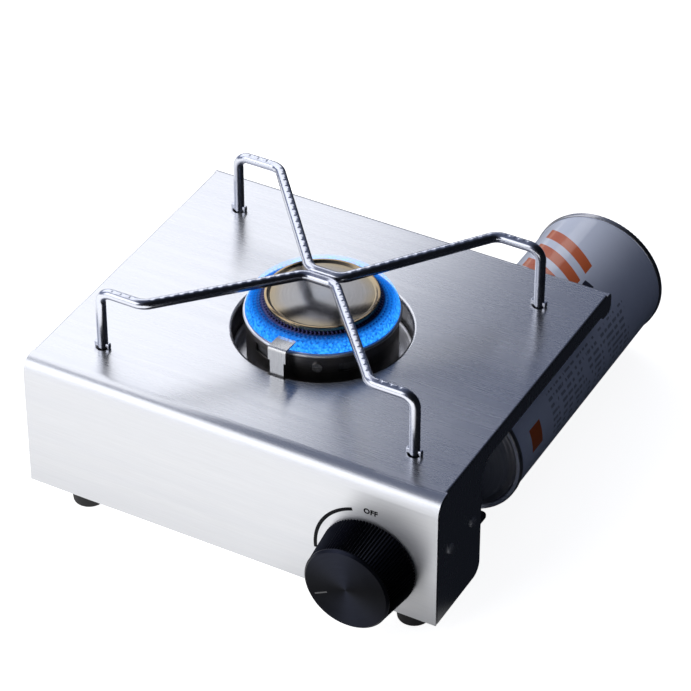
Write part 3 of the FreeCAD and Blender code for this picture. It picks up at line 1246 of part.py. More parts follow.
def on_circle(middle, radius, count):
    """Points evenly round a circle that faces front, the first one straight up."""
    places = []
    for index in range(count):
        turn = math.radians(90.0 + index * 360.0 / count)
        places.append(middle + vector(radius * math.cos(turn), 0, radius * math.sin(turn)))
    return places


def cover_screw_places():
    return on_circle(vector(KNOB_X, REG_FRONT, DIAPHRAGM_Z), REG_SCREW_CIRCLE, REG_SCREW_COUNT)


def coupling_screw_places(y):
    return on_circle(on_can(y), COUPLING_SCREW_CIRCLE, REG_SCREW_COUNT)


def diaphragm():
    """The rubber disc clamped between the regulator and its cover."""
    return rod(DIAPHRAGM_RADIUS, DIAPHRAGM_SHEET,
               vector(KNOB_X, REG_FRONT - DIAPHRAGM_SHEET, DIAPHRAGM_Z), Y_AXIS)


def diaphragm_cover():
    """The cap over the pressure spring, with a recess for the diaphragm and three screw holes."""
    cap = turned([
        (0, COVER_HEIGHT, 0), (0, COVER_HEIGHT - COVER_WALL, 0),
        (COVER_DOME_RADIUS - COVER_WALL, COVER_HEIGHT - COVER_WALL, 0),
        (COVER_DOME_RADIUS - COVER_WALL, DIAPHRAGM_SHEET, 0), (DIAPHRAGM_RADIUS + FIT_GAP, DIAPHRAGM_SHEET, 0),
        (DIAPHRAGM_RADIUS + FIT_GAP, 0, 0), (COVER_FLANGE_RADIUS, 0, 0),
        (COVER_FLANGE_RADIUS, COVER_FLANGE, 0), (COVER_DOME_RADIUS, COVER_FLANGE, 0),
        (COVER_DOME_RADIUS, COVER_HEIGHT, COVER_WALL),
    ], vector(KNOB_X, REG_FRONT, DIAPHRAGM_Z), Y_AXIS * -1)
    return cap.cut([rod(REG_SCREW_RADIUS + SCREW_CLEARANCE, COVER_FLANGE, place, Y_AXIS * -1)
                    for place in cover_screw_places()])


def pressure_spring():
    """The regulator's spring, as a sleeve of the coil's outer and inner size."""
    start = vector(KNOB_X, REG_FRONT - DIAPHRAGM_SHEET, DIAPHRAGM_Z)
    return tube(PRESSURE_SPRING_RADIUS, PRESSURE_SPRING_RADIUS - SPRING_WIRE,
                COVER_HEIGHT - COVER_WALL - DIAPHRAGM_SHEET, start, Y_AXIS * -1)


def cheese_screw(seat, outward, head_radius, shank_radius, shank_length):
    """A plain screw: head outside the seat, shank inside it."""
    return joined([rod(head_radius, REG_SCREW_RISE, seat, outward),
                   rod(shank_radius, shank_length, seat, outward * -1)])


def regulator_screws():
    """Screws of the regulator's cover, of its mounting and of the coupling."""
    front, rear = Y_AXIS * -1, Y_AXIS
    screws = [cheese_screw(place + front * COVER_FLANGE, front, REG_SCREW_HEAD, REG_SCREW_RADIUS,
                           COVER_FLANGE + REG_SCREW_DEPTH) for place in cover_screw_places()]
    screws += [cheese_screw(vector(x, BULKHEAD_REAR, z), rear, MOUNT_SCREW_HEAD, MOUNT_SCREW_RADIUS,
                            BULKHEAD_SHEET + REG_SCREW_DEPTH) for x, z in (MOUNT_SCREW_LOW, MOUNT_SCREW_HIGH)]
    screws += [cheese_screw(place, rear, COUPLING_SCREW_HEAD, REG_SCREW_RADIUS,
                            COUPLING_FLANGE + BULKHEAD_SHEET + COUPLING_SCREW_DEPTH)
               for place in coupling_screw_places(COUPLING_NECK_REAR)]
    return Part.makeCompound(screws)


def coupling_body():
    """The turned stem that carries the magnet plate and takes the gas from the canister."""
    plate_front = PLATE_FRONT - BULKHEAD_REAR
    plate_rear = PLATE_REAR - BULKHEAD_REAR
    nose = SEAL_RING_REAR - BULKHEAD_REAR
    pocket = SEAL_RING_RADIUS + FIT_GAP
    pocket_floor = SEAL_RING_FRONT - BULKHEAD_REAR
    body = turned([
        (PORT_BORE, 0, 0), (COUPLING_FLANGE_RADIUS, 0, 0), (COUPLING_FLANGE_RADIUS, COUPLING_FLANGE, 0),
        (COUPLING_STEM_RADIUS, COUPLING_FLANGE, 0), (COUPLING_STEM_RADIUS, plate_front, 0),
        (COUPLING_PLATE_RADIUS, plate_front, 0), (COUPLING_PLATE_RADIUS, plate_rear, 0),
        (COUPLING_NOSE_RADIUS, plate_rear, 0), (COUPLING_NOSE_RADIUS, nose, 0), (pocket, nose, 0),
        (pocket, pocket_floor, 0), (PORT_BORE, pocket_floor, 0),
    ], on_can(BULKHEAD_REAR), Y_AXIS)
    return body.cut([rod(REG_SCREW_RADIUS + SCREW_CLEARANCE, COUPLING_FLANGE, place, Y_AXIS)
                     for place in coupling_screw_places(BULKHEAD_REAR)])


def magnet_ring():
    return tube(MAGNET_OUTER, MAGNET_INNER, MAGNET_LENGTH, on_can(PLATE_REAR), Y_AXIS)


def guide_pin():
    """The peg that the notch in the canister's collar lines up with."""
    start = on_can(PLATE_REAR) + Z_AXIS * GUIDE_PIN_CIRCLE
    return rod(GUIDE_PIN_RADIUS, MAGNET_LENGTH + GUIDE_PIN_REACH, start, Y_AXIS)


def inlet_seal():
    return tube(SEAL_RING_RADIUS, SEAL_RING_HOLE, SEAL_RING_THICKNESS, on_can(SEAL_RING_FRONT), Y_AXIS)


def support_wire(side):
    """One bent wire of the pot support; side is -1 for the front wire and 1 for the rear one."""
    y_leg = BURNER_Y + side * LEG_Y
    y_middle = BURNER_Y + side * WIRE_OFFSET
    foot_z = CASE_HEIGHT - SUPPORT_LEG_DROP
    half_plan = [
        (LEG_X, y_leg, foot_z, 0), (LEG_X, y_leg, SUPPORT_Z, SUPPORT_BEND),
        (LEG_X - SUPPORT_SHOULDER, y_leg, SUPPORT_Z, SUPPORT_PLAN_BEND),
        (SUPPORT_CENTRE / 2, y_middle, SUPPORT_CENTRE_Z, SUPPORT_PLAN_BEND),
    ]
    left = [(vector(BURNER_X - x, y, z), radius) for x, y, z, radius in half_plan]
    right = [(vector(BURNER_X + x, y, z), radius) for x, y, z, radius in reversed(half_plan)]
    stations = left + right
    path = rounded_wire([place for place, _ in stations], [radius for _, radius in stations], False)
    section = Part.Wire(Part.makeCircle(WIRE_RADIUS, stations[0][0], Z_AXIS))
    wire = path.makePipeShell([section], True, False)
    return joined([wire] + [support_ear(BURNER_X + end * LEG_X, y_leg) for end in (-1, 1)])


def support_ear(x, y):
    """The flat pinched on a leg, which rests on the top beside the leg's hole."""
    half = SUPPORT_EAR_WIDTH / 2
    depth = SUPPORT_EAR_DEPTH / 2
    top = CASE_HEIGHT + SUPPORT_EAR_HEIGHT
    corners = [(x - half, CASE_HEIGHT, SUPPORT_EAR_CHAMFER / 2), (x + half, CASE_HEIGHT, SUPPORT_EAR_CHAMFER / 2),
               (x + half, top, SUPPORT_EAR_CHAMFER), (x - half, top, SUPPORT_EAR_CHAMFER)]
    face = outline_face(corners, lambda u, z: vector(u, y - depth, z))
    return face.extrude(Y_AXIS * SUPPORT_EAR_DEPTH)


def support_weld():
    """The bead that fills the groove between the two wires where they lie side by side."""
    half = WELD_LENGTH / 2
    fill = block((BURNER_X - half, BURNER_X + half), (BURNER_Y - WIRE_RADIUS * 0.6, BURNER_Y + WIRE_RADIUS * 0.6),
                 (SUPPORT_CENTRE_Z - WIRE_RADIUS, SUPPORT_CENTRE_Z - WIRE_RADIUS + WELD_DEPTH))
    wires = [rod(WIRE_RADIUS, CASE_WIDTH,
                 vector(-HALF_WIDTH, BURNER_Y + side * WIRE_OFFSET, SUPPORT_CENTRE_Z), X_AXIS)
             for side in (-1, 1)]
    bead = fill.cut(wires)
    return bead


def can_body():
    """The canister's shell with a rolled seam at each end."""
    seam_y = CAN_REAR - CHIME_HEIGHT
    shell = tube(CAN_SHELL_RADIUS, CAN_SHELL_RADIUS - CAN_SHEET, CAN_LENGTH, on_can(CAN_FRONT), Y_AXIS)
    inner = CAN_RADIUS - CHIME_WIDTH
    seams = []
    for y in (CAN_FRONT, seam_y):
        seams.append(turned([
            (inner, 0, CHIME_WIDTH / 4), (CAN_RADIUS, 0, CHIME_WIDTH / 4),
            (CAN_RADIUS, CHIME_HEIGHT, CHIME_WIDTH / 4), (inner, CHIME_HEIGHT, CHIME_WIDTH / 4),
        ], on_can(y), Y_AXIS))
    return joined([shell] + seams)


def can_dome():
    """The stepped dome from the front seam up to the valve."""
    thick = DOME_THICKNESS
    outer = CAN_RADIUS - CHIME_WIDTH
    foot = CHIME_HEIGHT
    top = -DOME_HEIGHT
    profile = [
        (outer, foot, 0), (outer, foot - 3.0 * thick, 0), (SHOULDER_RADIUS + thick, 0, thick),
        (SHOULDER_STEP + thick, 0, thick), (SHOULDER_STEP, -SHOULDER_RISE, thick),
        (DOME_TOP_RADIUS + 2.0 * thick, top + SHOULDER_RISE, SHOULDER_RISE),
        (DOME_TOP_RADIUS, top, 0), (CUP_RADIUS, top, 0), (CUP_RADIUS, top + 2.0 * thick, 0),
        (DOME_TOP_RADIUS - thick, top + 2.0 * thick, 0),
        (DOME_TOP_RADIUS + thick, top + SHOULDER_RISE + 2.0 * thick, 0),
        (SHOULDER_STEP - thick, thick - SHOULDER_RISE, 0), (SHOULDER_STEP, 2.0 * thick, 0),
        (SHOULDER_RADIUS, 2.0 * thick, 0), (outer - 2.0 * thick, foot, 0),
    ]
    return turned(profile, on_can(CAN_FRONT), Y_AXIS)


def can_base():
    """The rear end of the canister, pressed inwards."""
    outer = CAN_RADIUS - CHIME_WIDTH
    hollow = BASE_HOLLOW
    thick = DOME_THICKNESS
    middle = outer * 0.55
    return turned([
        (0, -hollow, 0), (middle, -hollow, 3.0 * hollow), (outer - 3.0 * thick, -CHIME_HEIGHT, 0),
        (outer, -CHIME_HEIGHT, 0), (outer, -CHIME_HEIGHT - thick, 0),
        (outer - 3.0 * thick, -CHIME_HEIGHT - thick, 0), (middle, -hollow - thick, 3.0 * hollow),
        (0, -hollow - thick, 0),
    ], on_can(CAN_REAR), Y_AXIS)


def valve_collar():
    """The valve cup and the notched collar that the coupling holds."""
    cup = turned([
        (STEM_RADIUS + FIT_GAP, CUP_DEPTH, 0), (CUP_RADIUS - CUP_WALL, CUP_DEPTH, 0),
        (CUP_RADIUS - CUP_WALL, 0, 0), (COLLAR_FLANGE_RADIUS, 0, 0), (COLLAR_FLANGE_RADIUS, COLLAR_FLANGE, 0),
        (CUP_RADIUS, COLLAR_FLANGE, 0), (CUP_RADIUS, CUP_DEPTH + CUP_WALL - CRIMP_HEIGHT, 0),
        (DOME_TOP_RADIUS, CUP_DEPTH + CUP_WALL - CRIMP_HEIGHT, 0), (DOME_TOP_RADIUS, CUP_DEPTH + CUP_WALL, 0),
        (STEM_RADIUS + FIT_GAP, CUP_DEPTH + CUP_WALL, 0),
    ], on_can(COLLAR_Y), Y_AXIS)
    half = NOTCH_WIDTH / 2
    low = CAN_Z + COLLAR_FLANGE_RADIUS - NOTCH_DEPTH
    notch = block((CAN_X - half, CAN_X + half), (COLLAR_Y - SHEET, COLLAR_Y + COLLAR_FLANGE + SHEET / 2),
                  (low, low + COLLAR_FLANGE_RADIUS))
    return cup.cut(notch)


def valve_housing():
    """The cup under the valve that guides the stem and holds its spring."""
    inner = HOUSING_RADIUS - HOUSING_WALL
    return turned([
        (inner, 0, 0), (HOUSING_RADIUS, 0, 0), (HOUSING_RADIUS, HOUSING_LENGTH, 0),
        (PORT_BORE, HOUSING_LENGTH, 0), (PORT_BORE, HOUSING_LENGTH - HOUSING_WALL, 0),
        (inner, HOUSING_LENGTH - HOUSING_WALL, 0),
    ], on_can(CRIMP_REAR), Y_AXIS)


def valve_stem():
    """The hollow stem that the coupling's seal presses, with the shoulder that stops it."""
    shoulder_front = CRIMP_REAR + PLUG_END_GAP - STEM_TIP_Y
    shoulder_rear = shoulder_front + STEM_SHOULDER_HEIGHT
    return turned([
        (STEM_BORE, 0, 0), (STEM_RADIUS, 0, 0), (STEM_RADIUS, shoulder_front, 0),
        (STEM_SHOULDER, shoulder_front, 0), (STEM_SHOULDER, shoulder_rear, 0), (0, shoulder_rear, 0),
        (0, shoulder_front, 0), (STEM_BORE, shoulder_front, 0),
    ], on_can(STEM_TIP_Y), Y_AXIS)


def valve_spring():
    """The stem's spring, as a sleeve of the coil's outer and inner size."""
    front = CRIMP_REAR + PLUG_END_GAP + STEM_SHOULDER_HEIGHT
    rear = CRIMP_REAR + HOUSING_LENGTH - HOUSING_WALL
    return tube(STEM_SHOULDER, STEM_SHOULDER - VALVE_SPRING_WALL, rear - front, on_can(front), Y_AXIS)


def all_nodes():
    """Every piece of the stove under its own name."""
    builders = [
        rubber_feet, top_cover, base_pan, bay_divider, bulkhead, blind_rivets, foot_screws, foot_nuts, drip_bowl,
        burner_skirt, burner_rim, flame_ring, burner_cap, burner_head, burner_screws, mixing_tube,
        jet_holder, jet, jet_bracket, gas_tube, tube_nuts, igniter_strap, strap_rivet, electrode_ceramic,
        electrode_pin, igniter_body, igniter_plunger, igniter_bracket, igniter_lead, lead_clips, knob,
        spindle, igniter_cam, thrust_collar, return_spring, gland_nut, spindle_seal, valve_plug,
        regulator_body, diaphragm, diaphragm_cover, pressure_spring, regulator_screws, coupling_body,
        magnet_ring, guide_pin, inlet_seal, support_weld, can_body, can_dome, can_base, valve_collar,
        valve_housing, valve_stem, valve_spring,
    ]
    nodes = {builder.__name__: builder() for builder in builders}
    nodes["knob_pointer"] = pointer_bar(0)
    nodes["support_wire_front"] = support_wire(-1)
    nodes["support_wire_rear"] = support_wire(1)
    return nodes


def main():
    os.makedirs("parts", exist_ok=True)
    for name, shape in all_nodes().items():
        shape.translate(FRAME_SHIFT)
        shape.exportStep("parts/" + name + ".step")
        print(name, shape.isValid(), len(shape.Solids), round(shape.Volume, 2))


main()
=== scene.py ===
import logging
import math
from dataclasses import dataclass, field
from enum import Enum

import bmesh
import bpy
import numpy as np
from mathutils import Matrix, Vector


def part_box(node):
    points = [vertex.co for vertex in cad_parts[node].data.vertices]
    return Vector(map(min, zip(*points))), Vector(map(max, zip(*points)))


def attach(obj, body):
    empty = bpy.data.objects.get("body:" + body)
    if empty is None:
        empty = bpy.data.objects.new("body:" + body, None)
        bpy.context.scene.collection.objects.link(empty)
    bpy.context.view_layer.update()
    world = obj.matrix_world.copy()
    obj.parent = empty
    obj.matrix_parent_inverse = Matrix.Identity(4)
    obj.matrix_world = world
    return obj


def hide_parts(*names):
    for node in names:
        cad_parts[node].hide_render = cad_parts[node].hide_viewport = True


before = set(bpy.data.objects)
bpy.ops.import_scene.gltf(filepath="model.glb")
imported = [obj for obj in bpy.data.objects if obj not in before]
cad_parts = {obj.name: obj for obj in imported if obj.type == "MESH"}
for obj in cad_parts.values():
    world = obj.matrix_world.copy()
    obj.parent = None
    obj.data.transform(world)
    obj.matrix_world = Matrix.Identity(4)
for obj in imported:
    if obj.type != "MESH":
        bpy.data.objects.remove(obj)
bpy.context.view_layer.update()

LOG = logging.getLogger("cassette_stove")
MM = 0.001
MERGE = 1e-7
CELL_MERGE = 1e-5
BLACK = (0.0, 0.0, 0.0)
WHITE = (1.0, 1.0, 1.0)

Colour = tuple[float, float, float]
Point = tuple[float, float, float]
Span = tuple[float, float]
Patch = tuple[Span, Span]
Socket = bpy.types.NodeSocket
Group = bpy.types.ShaderNodeTree


class Axis(Enum):
    """The line that a turned or rolled piece is made round, as a rotation that brings it to +Z."""

    Y = (math.pi / 2, 0.0, 0.0)
    Z = (0.0, 0.0, 0.0)


class Grain(Enum):
    """How a finish's fine lines run."""

    PLAIN = "plain"
    ALONG_X = "along_x"
    ALONG_Z = "along_z"
    FOLDED = "folded"
    TURNED = "turned"


LINE_SQUEEZE = 0.02
SQUEEZED = {Grain.ALONG_X: (LINE_SQUEEZE, 1.0, 1.0), Grain.ALONG_Z: (1.0, 1.0, LINE_SQUEEZE)}
ACROSS = {Grain.PLAIN: (0.0, 1.0, 1.0), Grain.ALONG_X: (0.0, 1.0, 1.0), Grain.ALONG_Z: (1.0, 1.0, 0.0),
          Grain.FOLDED: (0.0, 1.0, 1.0)}
RADIAL_MASKS = {Axis.Y: ((1.0, 0.0, 1.0), (0.0, 1.0, 0.0)), Axis.Z: ((1.0, 1.0, 0.0), (0.0, 0.0, 1.0))}


# Node helpers


class NodeSheet:
    """A small wrapper that adds shader nodes and links them in one line each."""

    def __init__(self, tree: bpy.types.NodeTree) -> None:
        """Starts from an existing node tree."""
        self.tree = tree

    @classmethod
    def opened(cls, owner: bpy.types.ID) -> "NodeSheet":
        """Empties the node tree of a material or a world and starts from it.

        Args:
            owner: the material or the world.

        Returns:
            The sheet.
        """
        owner.use_nodes = True
        owner.node_tree.nodes.clear()
        return cls(owner.node_tree)

    def add(self, kind: str, **settings: object) -> bpy.types.Node:
        """Adds one node.

        Args:
            kind: the node's type name.
            settings: node properties to set.

        Returns:
            The new node.
        """
        node = self.tree.nodes.new(kind)
        for name, value in settings.items():
            setattr(node, name, value)
        return node

    def feed(self, socket: Socket, value: object) -> None:
        """Links a socket to another one, or sets its default value.

        Args:
            socket: the socket that is fed.
            value: another socket, a number, a vector or a colour.
        """
        if isinstance(value, bpy.types.NodeSocket):
            self.tree.links.new(value, socket)
        elif isinstance(value, tuple) and len(value) == 3 and socket.type == "RGBA":
            socket.default_value = (*value, 1.0)
        else:
            socket.default_value = value

    def math(self, operation: str, *values: object, clamp: bool = False) -> Socket:
        """One Math node.

        Args:
            operation: the Math node's operation.
            values: its inputs, as sockets or numbers.
            clamp: whether the result is kept between 0 and 1.

        Returns:
            The node's result.
        """
        node = self.add("ShaderNodeMath", operation=operation, use_clamp=clamp)
        for socket, value in zip(node.inputs, values):
            self.feed(socket, value)
        return node.outputs[0]

    def times(self, first: object, second: object) -> Socket:
        """The product of two values."""
        return self.math("MULTIPLY", first, second)

    def plus(self, first: object, second: object) -> Socket:
        """The sum of two values."""
        return self.math("ADD", first, second)

    def minus(self, first: object, second: object) -> Socket:
        """The first value less the second."""
        return self.math("SUBTRACT", first, second)

    def vector(self, operation: str, *values: object) -> Socket:
        """One Vector Math node on sockets or fixed vectors.

        Args:
            operation: the node's operation.
            values: its inputs.

        Returns:
            The node's result.
        """
        node = self.add("ShaderNodeVectorMath", operation=operation)
        for socket, value in zip(node.inputs, values):
            self.feed(socket, value)
        return node.outputs[0]

    def band(self, value: Socket, low: float, high: float, soft: float) -> Socket:
        """A mask that is 1 between two values and fades to 0 over a soft edge.

        Args:
            value: the value that is tested.
            low: where the band starts.
            high: where the band ends.
            soft: the width of the fade at each edge.

        Returns:
            The mask.
        """
        return self.times(self.ramp(value, low - soft, low), self.ramp(value, high, high + soft, 1.0, 0.0))

    def ramp(self, value: Socket, low: float, high: float, to_low: float = 0.0,
             to_high: float = 1.0) -> Socket:
        """A clamped Map Range node.

        Args:
            value: the value that is mapped.
            low: the value that gives to_low.
            high: the value that gives to_high.
            to_low: the result at low.
            to_high: the result at high.

        Returns:
            The mapped value.
        """
        node = self.add("ShaderNodeMapRange", clamp=True)
        self.feed(node.inputs["Value"], value)
        node.inputs["From Min"].default_value = low
        node.inputs["From Max"].default_value = high
        node.inputs["To Min"].default_value = to_low
        node.inputs["To Max"].default_value = to_high
        return node.outputs["Result"]

    def mix(self, factor: object, first: object, second: object) -> Socket:
        """A colour mix from the first colour at 0 to the second at 1.

        Args:
            factor: the share of the second colour.
            first: the first colour.
            second: the second colour.

        Returns:
            The mixed colour.
        """
        node = self.add("ShaderNodeMix", data_type="RGBA")
        self.feed(node.inputs[0], factor)
        self.feed(node.inputs[6], first)
        self.feed(node.inputs[7], second)
        return node.outputs[2]

    def parts(self, vector: Socket) -> tuple[Socket, Socket, Socket]:
        """The x, y and z of a vector.

        Args:
            vector: the vector.

        Returns:
            The three numbers.
        """
        node = self.add("ShaderNodeSeparateXYZ")
        self.feed(node.inputs[0], vector)
        return node.outputs[0], node.outputs[1], node.outputs[2]

    def place(self, vector: Socket, centre: Vector, axis: Axis) -> Socket:
        """Object coordinates moved so that the centre is the origin, and turned so that the axis is Z.

        Args:
            vector: the coordinates.
            centre: the point that becomes the origin.
            axis: the line that becomes Z.

        Returns:
            The moved and turned coordinates.
        """
        return self.mapped(self.mapped(vector, Location=-centre), Rotation=axis.value)

    def noise(self, vector: Socket, scale: object, detail: float = 3.0) -> Socket:
        """A noise texture's factor.

        Args:
            vector: the coordinates.
            scale: its fineness.
            detail: how many finer layers it has.

        Returns:
            The factor, from 0 to 1.
        """
        node = self.add("ShaderNodeTexNoise")
        self.feed(node.inputs["Vector"], vector)
        self.feed(node.inputs["Scale"], scale)
        node.inputs["Detail"].default_value = detail
        return node.outputs[0]

    def mapped(self, vector: Socket, **settings: object) -> Socket:
        """Coordinates through a Mapping node whose inputs are set by name.

        Args:
            vector: the coordinates.
            settings: the node's inputs.

        Returns:
            The mapped coordinates.
        """
        node = self.add("ShaderNodeMapping")
        self.feed(node.inputs["Vector"], vector)
        for name, value in settings.items():
            node.inputs[name].default_value = value
        return node.outputs[0]


class Effects:
    """Shader node groups that several finishes share, each built once."""

    def __init__(self) -> None:
        """Starts with no groups."""
        self.groups: dict[str, Group] = {}

    def start(self, name: str, *outputs: str) -> tuple[NodeSheet, Socket, Socket, dict[str, Socket]]:
        """Opens a new group that takes Coordinates and Scale.

        Args:
            name: the group's name.
            outputs: the names of the values that it gives.

        Returns:
            The group's sheet, its two inputs and its output sockets by name.
        """
        tree = bpy.data.node_groups.new(name, "ShaderNodeTree")
        tree.interface.new_socket("Coordinates", in_out="INPUT", socket_type="NodeSocketVector")
        tree.interface.new_socket("Scale", in_out="INPUT", socket_type="NodeSocketFloat")
        for label in outputs:
            tree.interface.new_socket(label, in_out="OUTPUT", socket_type="NodeSocketFloat")
        sheet = NodeSheet(tree)
        way_in = sheet.add("NodeGroupInput").outputs
        way_out = sheet.add("NodeGroupOutput").inputs
        self.groups[name] = tree
        return sheet, way_in["Coordinates"], way_in["Scale"], {socket.name: socket for socket in way_out}

    def line_grain(self) -> Group:
        """Brushed lines: two layers of noise squeezed across the lines, and broad smudges under them.

        Returns:
            The group.
        """
        if "line_grain" not in self.groups:
            sheet, spot, scale, outs = self.start("line_grain", "Lines", "Smudge")
            fine = sheet.noise(spot, scale, 4.0)
            broad = sheet.noise(spot, sheet.times(scale, 0.31), 2.0)
            lines = sheet.plus(sheet.times(fine, 0.65), sheet.times(broad, 0.35))
            sheet.feed(outs["Lines"], sheet.ramp(lines, 0.3, 0.7))
            smudge = sheet.noise(spot, sheet.times(scale, 0.04), 2.0)
            sheet.feed(outs["Smudge"], sheet.ramp(smudge, 0.3, 0.7))
        return self.groups["line_grain"]

    def ring_grain(self) -> Group:
        """Lathe rings round Z: noise read along the radius and the height, and hardly along the turn.

        Returns:
            The group.
        """
        if "ring_grain" not in self.groups:
            sheet, spot, scale, outs = self.start("ring_grain", "Lines", "Radius", "Turn")
            x, y, z = sheet.parts(spot)
            radius = sheet.math("SQRT", sheet.plus(sheet.times(x, x), sheet.times(y, y)))
            turn = sheet.math("ARCTAN2", y, x)
            rings = sheet.add("ShaderNodeCombineXYZ")
            for socket, value in zip(rings.inputs, (radius, sheet.times(turn, 0.0004), z)):
                sheet.feed(socket, value)
            noise = sheet.noise(rings.outputs[0], scale)
            sheet.feed(outs["Lines"], sheet.ramp(noise, 0.3, 0.7))
            sheet.feed(outs["Radius"], radius)
            sheet.feed(outs["Turn"], turn)
        return self.groups["ring_grain"]

    def speckle(self) -> Group:
        """Fine grit and slow mottling, for castings, plastic, rubber and oxide.

        Returns:
            The group.
        """
        if "speckle" not in self.groups:
            sheet, spot, scale, outs = self.start("speckle", "Grit", "Mottle")
            grit = sheet.noise(spot, scale, 2.0)
            mottle = sheet.noise(spot, sheet.times(scale, 0.06))
            sheet.feed(outs["Grit"], sheet.ramp(grit, 0.35, 0.65))
            sheet.feed(outs["Mottle"], sheet.ramp(mottle, 0.3, 0.7))
        return self.groups["speckle"]


EFFECTS = Effects()


# Finishes


@dataclass(frozen=True)
class Finish:
    """One surface: its colour, how its fine lines run, and how strongly they show.

    Args:
        name: the material's name.
        colour: its base colour, linear.
        metallic: how much of a metal it is, from 0 to 1.
        roughness: its mean roughness.
        grain: how its lines run.
        scale: the lines' or grit's fineness.
        shade: how much the grain darkens the colour.
        rough_spread: how much the grain and mottling change the roughness.
        relief: the bump's strength.
        depth: the bump's distance in metres.
        tint: a second colour that mottling brings in.
        tint_amount: how much of it.
        spread: how much further light spreads across the lines than along them, from 0 to 1.
        centre: the middle of a turned piece.
        axis: the line it is turned round.
        specular: the specular level.
        coat: clear coat weight.
    """

    name: str
    colour: Colour
    metallic: float = 1.0
    roughness: float = 0.35
    grain: Grain = Grain.PLAIN
    scale: float = 900.0
    shade: float = 0.12
    rough_spread: float = 0.12
    relief: float = 0.12
    depth: float = 0.0001
    tint: Colour = (0.5, 0.5, 0.5)
    tint_amount: float = 0.0
    spread: float = 0.0
    centre: Point = (0.0, 0.0, 0.0)
    axis: Axis = Axis.Z
    specular: float = 0.5
    coat: float = 0.0

    def grain_sockets(self, sheet: NodeSheet, coordinates: Socket) -> tuple[Socket, Socket]:
        """The line mask and the slow mask of this finish.

        Args:
            sheet: the material's sheet.
            coordinates: Object coordinates.

        Returns:
            The fine mask and the slow mask.
        """
        if self.grain is Grain.PLAIN:
            node = self.effect(sheet, EFFECTS.speckle(), coordinates)
            return node.outputs["Grit"], node.outputs["Mottle"]
        if self.grain is Grain.TURNED:
            placed = sheet.place(coordinates, Vector(self.centre), self.axis)
            node = self.effect(sheet, EFFECTS.ring_grain(), placed)
            slow = self.effect(sheet, EFFECTS.speckle(), coordinates)
            return node.outputs["Lines"], slow.outputs["Mottle"]
        if self.grain is Grain.FOLDED:
            return self.folded_sockets(sheet, coordinates)
        squeezed = sheet.mapped(coordinates, Scale=SQUEEZED[self.grain])
        node = self.effect(sheet, EFFECTS.line_grain(), squeezed)
        return node.outputs["Lines"], node.outputs["Smudge"]

    def folded_sockets(self, sheet: NodeSheet, coordinates: Socket) -> tuple[Socket, Socket]:
        """Lines along X on the top and front, which run down the sides as the folded sheet's do.

        Args:
            sheet: the material's sheet.
            coordinates: Object coordinates.

        Returns:
            The fine mask and the slow mask.
        """
        flat, down = (self.effect(sheet, EFFECTS.line_grain(), sheet.mapped(coordinates, Scale=SQUEEZED[run]))
                      for run in (Grain.ALONG_X, Grain.ALONG_Z))
        facing = sheet.add("ShaderNodeTexCoord").outputs["Normal"]
        side = sheet.ramp(sheet.math("ABSOLUTE", sheet.parts(facing)[0]), 0.6, 0.8)
        lines = sheet.plus(sheet.times(flat.outputs["Lines"], sheet.minus(1.0, side)),
                           sheet.times(down.outputs["Lines"], side))
        return lines, flat.outputs["Smudge"]

    def effect(self, sheet: NodeSheet, group: Group, coordinates: Socket) -> bpy.types.Node:
        """Places a shared group in the material with this finish's scale.

        Args:
            sheet: the material's sheet.
            group: the shared group.
            coordinates: what it reads.

        Returns:
            The group's node.
        """
        node = sheet.add("ShaderNodeGroup", node_tree=group)
        sheet.feed(node.inputs["Coordinates"], coordinates)
        node.inputs["Scale"].default_value = self.scale
        return node

    def base(self, sheet: NodeSheet, coordinates: Socket, fine: Socket, slow: Socket) -> Socket:
        """The base colour: shaded by the fine mask and tinted by the slow one.

        Args:
            sheet: the material's sheet.
            coordinates: Object coordinates.
            fine: the fine mask.
            slow: the slow mask.

        Returns:
            The colour.
        """
        dark = tuple(c * (1.0 - self.shade) for c in self.colour)
        lined = sheet.mix(fine, dark, self.colour)
        if self.tint_amount == 0.0:
            return lined
        return sheet.mix(sheet.times(slow, self.tint_amount), lined, self.tint)

    def roughness_socket(self, sheet: NodeSheet, fine: Socket, slow: Socket) -> Socket:
        """The roughness: its mean, moved by both masks.

        Args:
            sheet: the material's sheet.
            fine: the fine mask.
            slow: the slow mask.

        Returns:
            The roughness.
        """
        mixed = sheet.plus(sheet.times(fine, 0.5), sheet.times(slow, 0.5))
        return sheet.ramp(mixed, 0.0, 1.0, self.roughness - self.rough_spread / 2,
                          self.roughness + self.rough_spread / 2)

    def across_lines(self, sheet: NodeSheet, coordinates: Socket) -> Socket:
        """The direction square to the lines, for light that spreads that way.

        On straight lines it is square to their direction, and on turned ones it is the radius plus the
        axis, so that it lies in a flat end as the radius and in a barrel as the axis.

        Args:
            sheet: the material's sheet.
            coordinates: Object coordinates.

        Returns:
            The direction.
        """
        if self.grain is not Grain.TURNED:
            fixed = sheet.add("ShaderNodeCombineXYZ")
            for socket, value in zip(fixed.inputs, ACROSS[self.grain]):
                socket.default_value = value
            return fixed.outputs[0]
        flatten, along = RADIAL_MASKS[self.axis]
        flat = sheet.vector("MULTIPLY", sheet.vector("SUBTRACT", coordinates, self.centre), flatten)
        return sheet.vector("ADD", sheet.vector("NORMALIZE", flat), along)

    def finish_shader(self, sheet: NodeSheet, shader: bpy.types.Node, coordinates: Socket) -> None:
        """A place for finishes with more to add to the shader. This one adds nothing."""

